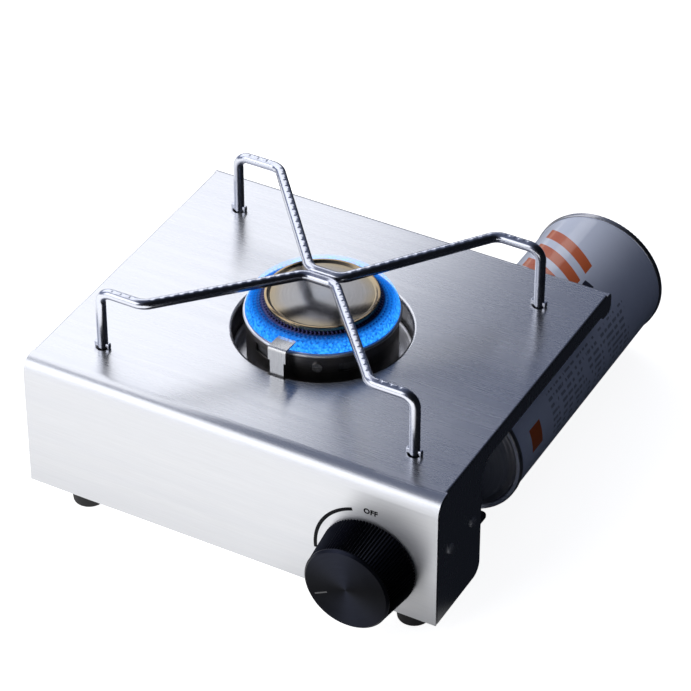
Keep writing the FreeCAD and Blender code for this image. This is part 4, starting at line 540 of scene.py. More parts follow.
    def material(self) -> bpy.types.Material:
        """Builds the material.

        Returns:
            The new material.
        """
        made = bpy.data.materials.new(self.name)
        sheet = NodeSheet.opened(made)
        shader = sheet.add("ShaderNodeBsdfPrincipled")
        output = sheet.add("ShaderNodeOutputMaterial")
        sheet.feed(output.inputs["Surface"], shader.outputs[0])
        coordinates = sheet.add("ShaderNodeTexCoord").outputs["Object"]
        fine, slow = self.grain_sockets(sheet, coordinates)
        sheet.feed(shader.inputs["Base Color"], self.base(sheet, coordinates, fine, slow))
        sheet.feed(shader.inputs["Roughness"], self.roughness_socket(sheet, fine, slow))
        for label, value in (("Metallic", self.metallic), ("Specular IOR Level", self.specular),
                             ("Coat Weight", self.coat)):
            shader.inputs[label].default_value = value
        if self.spread:
            shader.inputs["Anisotropic"].default_value = self.spread
            sheet.feed(shader.inputs["Tangent"], self.across_lines(sheet, coordinates))
        bump = sheet.add("ShaderNodeBump")
        bump.inputs["Strength"].default_value = self.relief
        bump.inputs["Distance"].default_value = self.depth
        sheet.feed(bump.inputs["Height"], fine)
        sheet.feed(shader.inputs["Normal"], bump.outputs[0])
        self.finish_shader(sheet, shader, coordinates)
        made.diffuse_color = (*self.colour, 1.0)
        return made


@dataclass(frozen=True)
class HeatTint(Finish):
    """Turned steel that has been hot: its colour changes from the middle out.

    Args:
        bands: (radius in metres, colour) pairs from the middle outwards.
        wander: how far the bands stray from true circles.
        soot: the colour between the rings.
    """

    bands: tuple[tuple[float, Colour], ...] = ()
    wander: float = 1.2 * MM
    soot: Colour = (0.02, 0.02, 0.02)

    def base(self, sheet: NodeSheet, coordinates: Socket, fine: Socket, slow: Socket) -> Socket:
        """The colour along the radius, shaded by the rings.

        Args:
            sheet: the material's sheet.
            coordinates: Object coordinates.
            fine: the fine mask.
            slow: the slow mask.

        Returns:
            The colour.
        """
        placed = sheet.place(coordinates, Vector(self.centre), self.axis)
        rings = self.effect(sheet, EFFECTS.ring_grain(), placed)
        radius = sheet.plus(rings.outputs["Radius"], sheet.ramp(slow, 0.0, 1.0, -self.wander, self.wander))
        colour: object = self.bands[0][1]
        for (inner, _), (outer, next_colour) in zip(self.bands, self.bands[1:]):
            colour = sheet.mix(sheet.ramp(radius, inner, outer), colour, next_colour)
        return sheet.mix(sheet.ramp(fine, 0.0, 1.0, self.shade, 0.0), colour, self.soot)


@dataclass(frozen=True)
class FoldedSteel(Finish):
    """Brushed sheet steel that is coarser on its front face than on its top.

    Args:
        front_rise: how much rougher the front is.
        front_band: the normal's y where the front begins to fade and where it has ended.
    """

    front_rise: float = 0.16
    front_band: Span = (-0.98, -0.80)

    def roughness_socket(self, sheet: NodeSheet, fine: Socket, slow: Socket) -> Socket:
        """The plain roughness, raised where the sheet faces the front.

        Args:
            sheet: the material's sheet.
            fine: the fine mask.
            slow: the slow mask.

        Returns:
            The roughness.
        """
        plain = Finish.roughness_socket(self, sheet, fine, slow)
        facing = sheet.parts(sheet.add("ShaderNodeTexCoord").outputs["Normal"])[1]
        return sheet.plus(plain, sheet.ramp(facing, *self.front_band, self.front_rise, 0.0))


@dataclass(frozen=True)
class PaintedSheenFace(Finish):
    """A turned end with a painted sheen: its colour is darkened between two opposite lobes, which stay
    lighter as the spun face's sheen would.

    Args:
        painted_sheen_turn: the angle of the painted sheen's lobes, counter-clockwise from the right as seen
            from the front.
        painted_sheen_share: how much darker the painted colour is between them.
    """

    painted_sheen_turn: float = 0.0
    painted_sheen_share: float = 0.6

    def base(self, sheet: NodeSheet, coordinates: Socket, fine: Socket, slow: Socket) -> Socket:
        """The plain base with a painted sheen: darkened by 1 - painted_sheen_share * (1 - cos(2 * (turn -
        painted_sheen_turn))) / 2, so two opposite lobes stay lighter.

        Args:
            sheet: the material's sheet.
            coordinates: Object coordinates.
            fine: the fine mask.
            slow: the slow mask.

        Returns:
            The colour.
        """
        plain = Finish.base(self, sheet, coordinates, fine, slow)
        x, _, z = sheet.parts(coordinates)
        # Painted sheen: the colour is darkened by the angle round the knob's axis.
        turn = sheet.math("ARCTAN2", sheet.minus(z, self.centre[2]), sheet.minus(x, self.centre[0]))
        painted_sheen_wave = sheet.math("COSINE", sheet.times(sheet.minus(turn, self.painted_sheen_turn), 2.0))
        return sheet.mix(sheet.ramp(painted_sheen_wave, -1.0, 1.0, self.painted_sheen_share, 0.0), plain, BLACK)


@dataclass(frozen=True)
class CanisterPrint(Finish):
    """Lacquered tinplate with a plain printed pattern, and bare steel on its rolled seams.

    Args:
        shell_radius: the shell's radius, past which the surface is a seam.
        front: where the canister's body starts along its axis.
        stripe: the slanted stripes' colour.
        dark: the bars' colour.
        steel: the seams' colour.
        edge: how soft the print's edges are.
        pitch: the distance from one slanted stripe to the next.
        row: the distance from one row of small bars to the next.
        stripe_patch: where the stripes are, as the ranges round the shell and along it, in metres.
        block_patch: where the plain orange block is.
        row_patch: where the rows of small bars are.
        bar_patch: where the long dark bar is.
    """

    shell_radius: float = 0.0335
    front: float = 0.0
    stripe: Colour = (0.62, 0.12, 0.02)
    dark: Colour = (0.03, 0.035, 0.06)
    steel: Colour = (0.42, 0.42, 0.44)
    edge: float = 0.2 * MM
    pitch: float = 13.0 * MM
    row: float = 3.6 * MM
    stripe_patch: Patch = ((-0.022, 0.012), (0.091, 0.130))
    block_patch: Patch = ((0.040, 0.052), (0.014, 0.024))
    row_patch: Patch = ((0.034, 0.062), (0.036, 0.118))
    bar_patch: Patch = ((0.014, 0.019), (0.086, 0.108))

    def places(self, sheet: NodeSheet, coordinates: Socket) -> tuple[Socket, Socket, Socket]:
        """The radius, the distance round the shell from its top, and the distance from the front.

        Args:
            sheet: the material's sheet.
            coordinates: Object coordinates.

        Returns:
            The three distances, in metres.
        """
        placed = sheet.place(coordinates, Vector(self.centre), self.axis)
        rings = self.effect(sheet, EFFECTS.ring_grain(), placed)
        x, y, z = sheet.parts(coordinates)
        turn = sheet.math("ARCTAN2", sheet.minus(x, self.centre[0]), sheet.minus(z, self.centre[2]))
        return rings.outputs["Radius"], sheet.times(turn, self.shell_radius), sheet.minus(y, self.front)

    def seam(self, sheet: NodeSheet, radius: Socket) -> Socket:
        """1 on the rolled seams and 0 on the shell."""
        return sheet.ramp(radius, self.shell_radius, self.shell_radius + self.edge / 2)

    def patch(self, sheet: NodeSheet, around: Socket, along: Socket, place: Patch) -> Socket:
        """A rectangle on the unrolled shell, as a mask."""
        return sheet.times(sheet.band(around, *place[0], self.edge), sheet.band(along, *place[1], self.edge))

    def base(self, sheet: NodeSheet, coordinates: Socket, fine: Socket, slow: Socket) -> Socket:
        """Lacquer with slanted orange stripes, an orange block, a dark bar and rows of small dark bars.

        Args:
            sheet: the material's sheet.
            coordinates: Object coordinates.
            fine: the fine mask.
            slow: the slow mask.

        Returns:
            The colour.
        """
        radius, around, along = self.places(sheet, coordinates)
        slant = sheet.plus(along, sheet.times(around, 0.7))
        steps = sheet.math("FRACT", sheet.math("DIVIDE", slant, self.pitch))
        stripes = sheet.times(sheet.band(steps, 0.25, 0.80, 0.02),
                              self.patch(sheet, around, slant, self.stripe_patch))
        block = self.patch(sheet, around, along, self.block_patch)
        orange = sheet.math("ADD", stripes, block, clamp=True)
        ragged = sheet.mapped(coordinates, Scale=(60.0, 420.0, 60.0))
        breaks = sheet.ramp(sheet.noise(ragged, 1.0, 1.0), 0.47, 0.50)
        lines = sheet.band(sheet.math("FRACT", sheet.math("DIVIDE", around, self.row)), 0.30, 0.72, 0.04)
        small = sheet.times(sheet.times(breaks, lines), self.patch(sheet, around, along, self.row_patch))
        bar = self.patch(sheet, around, along, self.bar_patch)
        marks = sheet.math("ADD", sheet.times(small, 0.5), bar, clamp=True)
        colour = sheet.mix(sheet.times(slow, 0.05), self.colour, self.dark)
        colour = sheet.mix(orange, colour, self.stripe)
        colour = sheet.mix(marks, colour, self.dark)
        return sheet.mix(self.seam(sheet, radius), colour, self.steel)

    def finish_shader(self, sheet: NodeSheet, shader: bpy.types.Node, coordinates: Socket) -> None:
        """Makes the seams metal."""
        radius, _, _ = self.places(sheet, coordinates)
        sheet.feed(shader.inputs["Metallic"], self.seam(sheet, radius))


@dataclass(frozen=True)
class Glow(Finish):
    """Burning gas: light that comes from the surface itself, broken up and see-through.

    Args:
        hot: the brightest colour.
        cool: the dimmest colour.
        strength: the emission's strength.
        cover: the least and the most that it hides what is behind it.
        low: the radius where the flame ends, next to the cap.
        high: the radius where it is at its fullest.
        ports: how many dark dots each row of them has, or 0 for none.
        row_depth: the width of a row of dots, along the radius.
        mirrored: the share of its light that shows in the metal round it.
    """

    colour: Colour = BLACK
    metallic: float = 0.0
    roughness: float = 1.0
    specular: float = 0.0
    hot: Colour = (0.10, 0.50, 1.0)
    cool: Colour = (0.01, 0.10, 0.8)
    strength: float = 1.6
    cover: Span = (0.35, 0.9)
    low: float = 28.0 * MM
    high: float = 30.5 * MM
    ports: int = 0
    row_depth: float = 1.8 * MM
    mirrored: float = 0.4

    def finish_shader(self, sheet: NodeSheet, shader: bpy.types.Node, coordinates: Socket) -> None:
        """Adds the light and the see-through parts, both fading towards the cap.

        Args:
            sheet: the material's sheet.
            shader: the material's shader.
            coordinates: Object coordinates.
        """
        placed = sheet.place(coordinates, Vector(self.centre), self.axis)
        rings = self.effect(sheet, EFFECTS.ring_grain(), placed)
        speckle = self.effect(sheet, EFFECTS.speckle(), coordinates)
        flicker = speckle.outputs["Grit"]
        if self.ports:
            flicker = sheet.times(sheet.ramp(flicker, 0.0, 1.0, 0.55, 1.0), self.dots(sheet, rings))
        fade = sheet.ramp(rings.outputs["Radius"], self.low, self.high)
        sheet.feed(shader.inputs["Emission Color"], sheet.mix(flicker, self.cool, self.hot))
        glossy = sheet.add("ShaderNodeLightPath").outputs["Is Glossy Ray"]
        sheet.feed(shader.inputs["Emission Strength"],
                   sheet.ramp(glossy, 0.0, 1.0, self.strength, self.strength * self.mirrored))
        sheet.feed(shader.inputs["Alpha"], sheet.times(sheet.ramp(flicker, 0.0, 1.0, *self.cover), fade))

    def dots(self, sheet: NodeSheet, rings: bpy.types.Node) -> Socket:
        """0 at the middle of each port and 1 between them, in rows that are staggered by half a step.

        Args:
            sheet: the material's sheet.
            rings: the ring grain's node, for its radius and turn.

        Returns:
            The mask.
        """
        rows = sheet.math("DIVIDE", rings.outputs["Radius"], self.row_depth)
        stagger = sheet.times(sheet.math("FLOORED_MODULO", sheet.math("FLOOR", rows), 2.0), 0.5)
        steps = sheet.times(rings.outputs["Turn"], self.ports / (2.0 * math.pi))
        across = sheet.minus(sheet.math("FRACT", sheet.plus(steps, stagger)), 0.5)
        along = sheet.minus(sheet.math("FRACT", rows), 0.5)
        square = sheet.plus(sheet.times(across, across), sheet.times(along, along))
        return sheet.ramp(square, 0.02, 0.09, 0.15, 1.0)


# Meshes


def linked(name: str, data: bpy.types.ID) -> bpy.types.Object:
    """A new object for a mesh, a curve, a lamp or a camera, linked to the scene.

    Args:
        name: its name.
        data: what it shows.

    Returns:
        The object.
    """
    made = bpy.data.objects.new(name, data)
    bpy.context.scene.collection.objects.link(made)
    return made


def new_object(name: str, points: np.ndarray, faces: list[np.ndarray],
               smooth: bool = True) -> bpy.types.Object:
    """Puts arrays of points and faces into a mesh.

    Args:
        name: the piece's name.
        points: an array of corners, in metres, in the row frame.
        faces: arrays of quads or triangles.
        smooth: whether the faces are shaded smooth.

    Returns:
        The new object, linked to the scene.
    """
    mesh = bpy.data.meshes.new(name)
    listed = [face for array in faces for face in array.tolist()]
    mesh.from_pydata(points.reshape(-1, 3).tolist(), [], listed)
    mesh.polygons.foreach_set("use_smooth", np.full(len(mesh.polygons), smooth))
    mesh.update()
    return linked(name, mesh)


def tidy_mesh(piece: bpy.types.Object, distance: float = 1e-6) -> None:
    """Merges doubled corners and turns all faces outwards.

    Args:
        piece: the piece.
        distance: how far apart corners may be and still count as one.
    """
    work = bmesh.new()
    work.from_mesh(piece.data)
    bmesh.ops.remove_doubles(work, verts=work.verts, dist=distance)
    bmesh.ops.recalc_face_normals(work, faces=work.faces)
    work.to_mesh(piece.data)
    work.free()


def ring_quads(rows: int, columns: int, closed_rows: bool) -> np.ndarray:
    """Quads of a grid whose columns close on themselves; rows close too where asked.

    Args:
        rows: how many rows of points.
        columns: how many points in each row.
        closed_rows: whether the last row joins the first.

    Returns:
        An array of quads.
    """
    row = np.arange(rows if closed_rows else rows - 1)[:, None]
    column = np.arange(columns)[None, :]
    after_row = (row + 1) % rows
    after_column = (column + 1) % columns
    corners = [row * columns + column, row * columns + after_column,
               after_row * columns + after_column, after_row * columns + column]
    return np.stack([np.broadcast_to(c, (row.size, columns)) for c in corners], -1).reshape(-1, 4)


def turned_ring(name: str, profile: np.ndarray, centre: Vector, columns: int) -> bpy.types.Object:
    """A closed (radius, height) loop turned round an upright axis.

    Each point is centre + (radius * cos t, radius * sin t, height) for t from 0 to a full turn.

    Args:
        name: the piece's name.
        profile: the loop, as radius and height pairs.
        centre: a point on the axis.
        columns: how many steps the turn takes.

    Returns:
        The new object.
    """
    turn = np.linspace(0.0, 2.0 * math.pi, columns, endpoint=False)
    radius, height = profile[:, :1], profile[:, 1:]
    points = np.stack([centre.x + radius * np.cos(turn), centre.y + radius * np.sin(turn),
                       centre.z + height + 0.0 * turn], -1)
    made = new_object(name, points, [ring_quads(len(profile), columns, True)])
    tidy_mesh(made)
    return made


def rounded_path(corners: np.ndarray, bends: list[float], step: float) -> tuple[np.ndarray, np.ndarray]:
    """Points along straight runs joined by tangent arcs, and which run each point is on.

    At a corner the arc starts and ends bend / tan(half angle) away from it, and its centre lies on the
    line that halves the angle.

    Args:
        corners: the path's corners.
        bends: a radius for each corner; the ends have none.
        step: the distance between points on a straight run.

    Returns:
        The points, and for each one the number of its straight run, or -1 on a bend.
    """
    points: list[np.ndarray] = []
    runs: list[np.ndarray] = []
    cursor = corners[0]
    for index in range(1, len(corners)):
        corner = corners[index]
        finish = corner
        arc = None
        if index < len(corners) - 1:
            back = (corners[index - 1] - corner) / np.linalg.norm(corners[index - 1] - corner)
            ahead = (corners[index + 1] - corner) / np.linalg.norm(corners[index + 1] - corner)
            half = math.acos(float(np.clip(back @ ahead, -1, 1))) / 2
            finish = corner + back * bends[index] / math.tan(half)
            leave = corner + ahead * bends[index] / math.tan(half)
            middle = (back + ahead) / np.linalg.norm(back + ahead)
            centre = corner + middle * bends[index] / math.sin(half)
            first, last = finish - centre, leave - centre
            angle = math.acos(float(np.clip(first @ last / bends[index] ** 2, -1, 1)))
            share = np.linspace(0.0, 1.0, 12)[1:-1, None]
            between = np.sin((1 - share) * angle) * first + np.sin(share * angle) * last
            arc = centre + between / math.sin(angle)
        count = max(2, int(np.linalg.norm(finish - cursor) / step))
        points.append(cursor + (finish - cursor) * np.linspace(0.0, 1.0, count)[:, None])
        runs.append(np.full(count, index - 1))
        if arc is not None:
            points.append(arc)
            runs.append(np.full(len(arc), -1))
            cursor = leave
    return np.concatenate(points), np.concatenate(runs)


def swept_tube(name: str, path: np.ndarray, radii: np.ndarray) -> bpy.types.Object:
    """A tube along a path that runs towards +X, with capped ends.

    The ring at each point of the path lies square to it: point + r(s, t) * (side * cos t + over * sin t),
    where side = tangent x Z, or -Y where the path is upright, and over = side x tangent.

    Args:
        name: the piece's name.
        path: the middle line.
        radii: a radius for each point and each step round it.

    Returns:
        The new object.
    """
    tangent = np.gradient(path, axis=0)
    tangent /= np.linalg.norm(tangent, axis=1, keepdims=True)
    side = np.cross(tangent, [0.0, 0.0, 1.0])
    reach = np.linalg.norm(side, axis=1, keepdims=True)
    side = np.where(reach > 1e-3, side / np.maximum(reach, 1e-3), [0.0, -1.0, 0.0])
    over = np.cross(side, tangent)
    columns = radii.shape[1]
    turn = np.linspace(0.0, 2.0 * math.pi, columns, endpoint=False)[None, :, None]
    rings = path[:, None] + radii[..., None] * (side[:, None] * np.cos(turn) + over[:, None] * np.sin(turn))
    points = np.concatenate([rings.reshape(-1, 3), path[:1], path[-1:]])
    count = len(path)
    around = np.arange(columns)
    after = (around + 1) % columns
    last = (count - 1) * columns
    caps = [np.stack([np.full(columns, count * columns), after, around], -1),
            np.stack([np.full(columns, count * columns + 1), last + around, last + after], -1)]
    made = new_object(name, points, [ring_quads(count, columns, False)] + caps)
    tidy_mesh(made, MERGE)
    return made


def box_mesh(name: str, low: Vector, high: Vector, bevel: float) -> bpy.types.Object:
    """A block with rounded edges, between two corners."""
    corners = np.array([[x, y, z] for z in (low.z, high.z) for y in (low.y, high.y) for x in (low.x, high.x)])
    quads = np.array([[0, 2, 3, 1], [4, 5, 7, 6], [0, 1, 5, 4], [2, 6, 7, 3], [0, 4, 6, 2], [1, 3, 7, 5]])
    made = new_object(name, corners, [quads], smooth=False)
    rounding = made.modifiers.new("edges", "BEVEL")
    rounding.width = bevel
    rounding.segments = 3
    return made


# Sub-assemblies


def middle(node: str) -> Vector:
    """The middle of a CAD node's box."""
    low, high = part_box(node)
    return (low + high) / 2


def dress(material: bpy.types.Material, *nodes: str) -> None:
    """Gives CAD nodes one material.

    Args:
        material: the finish.
        nodes: the nodes' names.
    """
    for node in nodes:
        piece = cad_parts[node]
        piece.data.materials.clear()
        piece.data.materials.append(material)
        LOG.info("dressed %s in %s", node, material.name)


def add_piece(piece: bpy.types.Object, material: bpy.types.Material, body: str,
              replaces: tuple[str, ...] = ()) -> None:
    """Dresses a new piece and ties it to the frame.

    Args:
        piece: the new object.
        material: its finish.
        body: the CAD body it moves with.
        replaces: the CAD nodes it stands for.
    """
    piece.data.materials.clear()
    piece.data.materials.append(material)
    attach(piece, body)
    if replaces:
        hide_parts(*replaces)
    LOG.info("made %s, %d faces", piece.name, len(piece.data.polygons))


@dataclass
class Casing:
    """The folded sheet casing, the floor, the feet and what is fastened to them."""

    arc_start: float = 109.0
    arc_end: float = 187.0
    arc_radius: float = 27.5 * MM
    arc_width: float = 1.7 * MM
    arc_steps: int = 60
    ink_thickness: float = 0.06 * MM
    word_height: float = 3.7 * MM
    word_weight: float = 0.18 * MM
    word_spacing: float = 1.1
    word_offset: Vector = field(default_factory=lambda: Vector((0.2, 0.0, 27.6)) * MM)

    def build(self) -> None:
        """Dresses the casing's nodes and prints the dial."""
        stainless = FoldedSteel("brushed_stainless", (0.62, 0.625, 0.64), roughness=0.27,
                                grain=Grain.FOLDED, scale=4200.0, shade=0.10, rough_spread=0.07, relief=0.03,
                                depth=0.00003, tint=(0.56, 0.57, 0.60), tint_amount=0.3, spread=0.78)
        dress(stainless.material(), "top_cover")
        zinc = Finish("zinc_sheet", (0.42, 0.43, 0.45), roughness=0.42, scale=420.0, shade=0.2,
                      tint=(0.30, 0.31, 0.33), tint_amount=0.5)
        dress(zinc.material(), "base_pan", "bay_divider", "bulkhead", "jet_bracket", "igniter_bracket")
        plated = Finish("plated_steel", (0.55, 0.55, 0.56), roughness=0.3, scale=1500.0)
        dress(plated.material(), "foot_screws", "foot_nuts", "regulator_screws", "guide_pin", "strap_rivet")
        dull = Finish("dull_rivet", (0.34, 0.35, 0.38), metallic=0.6, roughness=0.6, scale=1500.0, shade=0.2)
        dress(dull.material(), "blind_rivets")
        rubber = Finish("black_rubber", (0.012, 0.012, 0.013), metallic=0.0, roughness=0.75, scale=3000.0,
                        shade=0.4, relief=0.25, specular=0.3, tint=(0.03, 0.03, 0.03), tint_amount=0.4)
        dress(rubber.material(), "rubber_feet", "spindle_seal", "diaphragm", "inlet_seal")
        self.print_dial()

    def print_dial(self) -> None:
        """The printed arc and the word over the knob, on the front face."""
        ink = Finish("dial_ink", (0.006, 0.006, 0.008), metallic=0.0, roughness=0.7, scale=4000.0,
                     shade=0.3, relief=0.05, specular=0.1).material()
        axis = middle("knob")
        face_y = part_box("top_cover")[0].y
        turn = np.radians(np.linspace(self.arc_start, self.arc_end, self.arc_steps))
        half = self.arc_width / 2
        low, high = self.arc_radius - half, self.arc_radius + half
        loops = [(low, face_y), (high, face_y), (high, face_y - self.ink_thickness),
                 (low, face_y - self.ink_thickness)]
        points = np.stack([np.stack([axis.x + radius * np.cos(turn), np.full_like(turn, y),
                                     axis.z + radius * np.sin(turn)], -1) for radius, y in loops], 1)
        sides = ring_quads(len(turn), 4, False)
        last = (len(turn) - 1) * 4
        ends = np.array([[0, 1, 2, 3], [last + 3, last + 2, last + 1, last]])
        arc = new_object("dial_arc", points, [sides, ends], smooth=False)
        tidy_mesh(arc, MERGE)
        add_piece(arc, ink, "stove_body")
        word = bpy.data.curves.new("dial_word", "FONT")
        word.body = "OFF"
        word.size = self.word_height
        word.align_x = "CENTER"
        word.align_y = "CENTER"
        word.extrude = self.ink_thickness / 2
        word.offset = self.word_weight
        word.space_character = self.word_spacing
        holder = linked("dial_word", word)
        bpy.context.view_layer.update()
        mesh = bpy.data.meshes.new_from_object(holder.evaluated_get(bpy.context.evaluated_depsgraph_get()))
        bpy.data.objects.remove(holder)
        place = Vector((axis.x, face_y - self.ink_thickness / 2, axis.z)) + self.word_offset
        mesh.transform(Matrix.Translation(place) @ Matrix.Rotation(math.pi / 2, 4, "X"))
        add_piece(linked("dial_word", mesh), ink, "stove_body")


@dataclass
class Burner:
    """The burner, its bowl and the flame."""

    cap_overhang: float = 0.5 * MM
    port_rows: int = 5
    ports_per_row: int = 88
    port_radius: float = 0.52 * MM
    sheet: float = 0.8 * MM
    veil_gap: float = 0.5 * MM
    veil_thickness: float = 0.15 * MM
    curtain_lean: float = 3.5 * MM
    curtain_height: float = 6.5 * MM
    flame_columns: int = 240
    jet_length: float = 1.5 * MM
    jet_radius: float = 0.45 * MM

    def build(self) -> None:
        """Dresses the burner's nodes and makes the crown and the flame."""
        low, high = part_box("flame_ring")
        self.centre = Vector((*middle("flame_ring").xy, low.z))
        self.foot_radius = (high.x - low.x) / 2
        self.height = high.z - low.z
        cap_low, cap_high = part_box("burner_cap")
        self.top_radius = (cap_high.x - cap_low.x) / 2 - self.cap_overhang
        centre = tuple(self.centre)
        self.dress_nodes(centre)
        self.crown(centre)
        self.flame(centre)

    def dress_nodes(self, centre: Point) -> None:
        """Gives each burner node its finish.

        Args:
            centre: the burner's middle, at the crown's foot.
        """
        bowl = Finish("bowl_steel", (0.60, 0.60, 0.62), roughness=0.30, grain=Grain.TURNED, scale=1800.0,
                      shade=0.25, relief=0.1, centre=centre, tint=(0.30, 0.29, 0.28), tint_amount=0.5)
        dress(bowl.material(), "drip_bowl")
        skirt = Finish("burnt_steel", (0.27, 0.26, 0.26), roughness=0.36, grain=Grain.TURNED, scale=1400.0,
                       shade=0.3, relief=0.12, centre=centre, tint=(0.20, 0.17, 0.14), tint_amount=0.5)
        dress(skirt.material(), "burner_skirt")
        heads = Finish("burnt_screw", (0.50, 0.49, 0.48), roughness=0.42, scale=1500.0, shade=0.3)
        dress(heads.material(), "burner_screws")
        rim = Finish("pale_rim", (0.80, 0.80, 0.82), roughness=0.38, grain=Grain.TURNED, scale=1500.0,
                     shade=0.1, centre=centre)
        dress(rim.material(), "burner_rim")
        cap = HeatTint("tinted_cap", (0.7, 0.6, 0.4), roughness=0.22, grain=Grain.TURNED, scale=1200.0,
                       rough_spread=0.06, relief=0.03, centre=centre,
                       bands=((0.0, (0.26, 0.27, 0.29)), (0.018, (0.27, 0.26, 0.25)),
                              (0.0240, (0.30, 0.25, 0.17)), (0.0266, (0.42, 0.31, 0.18))))
        dress(cap.material(), "burner_cap")
        strap = Finish("bright_steel", (0.55, 0.55, 0.55), roughness=0.28, grain=Grain.ALONG_Z, scale=2600.0,
                       shade=0.1)
        dress(strap.material(), "igniter_strap")
        cast = Finish("cast_alloy", (0.38, 0.38, 0.39), roughness=0.5, scale=1100.0, shade=0.25, relief=0.3,
                      tint=(0.28, 0.28, 0.29), tint_amount=0.5)
        dress(cast.material(), "burner_head", "mixing_tube", "regulator_body", "diaphragm_cover",
              "coupling_body")
        brass = Finish("turned_brass", (0.60, 0.42, 0.16), roughness=0.3, scale=1300.0, shade=0.15,
                       tint=(0.42, 0.28, 0.10), tint_amount=0.4)
        dress(brass.material(), "jet", "jet_holder", "tube_nuts", "spindle", "thrust_collar", "gland_nut",
              "valve_plug", "valve_housing", "valve_stem")
        copper = Finish("drawn_copper", (0.62, 0.30, 0.18), roughness=0.3, tint=(0.35, 0.18, 0.12),
                        tint_amount=0.5)
        dress(copper.material(), "gas_tube")
        ceramic = Finish("white_ceramic", (0.76, 0.74, 0.70), metallic=0.0, roughness=0.45, scale=1600.0,
                         shade=0.06, tint=(0.55, 0.50, 0.42), tint_amount=0.3)
        dress(ceramic.material(), "electrode_ceramic")

    def slope_point(self, turn: np.ndarray, share: np.ndarray, lift: float = 0.0) -> np.ndarray:
        """Points on the crown's slope.

        The radius falls evenly from the foot to the top as share goes from 0 to 1 and the height rises
        evenly; lift moves the point out along the slope's normal.

        Args:
            turn: angles round the burner.
            share: how far up the slope.
            lift: how far off the slope.

        Returns:
            The points.
        """
        run = self.foot_radius - self.top_radius
        length = math.hypot(run, self.height)
        radius = self.foot_radius - run * share + lift * self.height / length
        height = self.height * share + lift * run / length
        return np.stack([self.centre.x + radius * np.cos(turn), self.centre.y + radius * np.sin(turn),
                         self.centre.z + height + 0.0 * turn], -1)

    def crown(self, centre: Point) -> None:
        """The perforated crown: one cell round each port, eight corners outside and eight in the port.

        Args:
            centre: the burner's middle, at the crown's foot.
        """
        rows, count = self.port_rows, self.ports_per_row
        row = np.arange(rows)[:, None, None]
        column = np.arange(count)[None, :, None]
        octant = np.arange(8)[None, None, :]
        edge_u = np.array([1, 1, 0, -1, -1, -1, 0, 1])[None, None, :] * 0.5
        edge_v = np.array([0, 1, 1, 1, 0, -1, -1, -1])[None, None, :] * 0.5
        length = math.hypot(self.foot_radius - self.top_radius, self.height)
        mean_radius = (self.foot_radius + self.top_radius) / 2
        cell_u = 2.0 * math.pi / count
        cell_v = 1.0 / rows
        hole_u = self.port_radius / mean_radius * np.cos(octant * math.pi / 4)
        hole_v = self.port_radius / length * np.sin(octant * math.pi / 4)
        turn_outer = (column + 0.5 * (row % 2) + edge_u) * cell_u
        share_outer = (row + 0.5 + edge_v) * cell_v + 0.0 * column
        turn_inner = (column + 0.5 * (row % 2)) * cell_u + hole_u + 0.0 * row
        share_inner = (row + 0.5) * cell_v + hole_v + 0.0 * column
        outer = self.slope_point(turn_outer + 0.0 * share_outer, share_outer)
        inner = self.slope_point(turn_inner, share_inner)
        points = np.concatenate([outer, inner], axis=2).reshape(-1, 3)
        base = (np.arange(rows * count) * 16)[:, None]
        ring = np.arange(8)[None, :]
        after = (ring + 1) % 8
        quads = np.stack([base + ring, base + after, base + 8 + after, base + 8 + ring], -1).reshape(-1, 4)
        made = new_object("perforated_crown", points, [quads])
        tidy_mesh(made, CELL_MERGE)
        wall = made.modifiers.new("wall", "SOLIDIFY")
        wall.thickness = self.sheet
        wall.offset = -1.0
        blued = HeatTint("blued_crown", (0.10, 0.11, 0.17), roughness=0.36, grain=Grain.TURNED, scale=1300.0,
                         shade=0.3, centre=centre,
                         bands=((0.0, (0.07, 0.05, 0.10)), (0.028, (0.05, 0.05, 0.15)),
                                (0.0340, (0.10, 0.12, 0.24)), (0.0349, (0.75, 0.76, 0.80))))
        add_piece(made, blued.material(), "stove_body", ("flame_ring",))

    def flame(self, centre: Point) -> None:
        """The low blue flame: a veil on the crown, a curtain over its foot and small jets at the ports.

        Args:
            centre: the burner's middle, at the crown's foot.
        """
        share = np.linspace(0.02, 0.80, 24)
        still = np.zeros_like(share)
        self.sheet_of_fire("flame_veil", self.slope_point(still, share, self.veil_gap),
                           Glow("flame_veil", scale=2600.0, centre=centre, hot=(0.01, 0.25, 1.0),
                                cool=(0.0, 0.05, 0.55), strength=0.9, cover=(0.30, 0.82),
                                low=self.top_radius + 2.0 * MM, high=self.top_radius + 6.5 * MM,
                                ports=self.ports_per_row))
        lean = np.linspace(0.0, 1.0, 16)
        curtain = np.stack([self.centre.x + self.foot_radius - self.curtain_lean * lean ** 2,
                            self.centre.y + 0.0 * lean,
                            self.centre.z + self.veil_gap + self.curtain_height * lean], -1)
        self.sheet_of_fire("flame_curtain", curtain,
                           Glow("flame_curtain", centre=centre, hot=(0.05, 0.40, 1.0),
                                cool=(0.02, 0.22, 1.0), strength=3.0, cover=(0.06, 0.24),
                                low=self.foot_radius - self.curtain_lean, high=self.foot_radius))
        self.jets(centre)

    def sheet_of_fire(self, name: str, line: np.ndarray, glow: Glow) -> None:
        """Turns a line and a copy of it a little further out round the burner as one thin closed shell.

        Args:
            name: the piece's name.
            line: points at the burner's right, from the foot up.
            glow: its finish.
        """
        radius, height = line[:, 0] - self.centre.x, line[:, 2] - self.centre.z
        outside = np.stack([radius + self.veil_thickness, height], -1)
        inside = np.stack([radius, height], -1)[::-1]
        shell = turned_ring(name, np.concatenate([outside, inside]), self.centre, self.flame_columns)
        add_piece(shell, glow.material(), "stove_body")

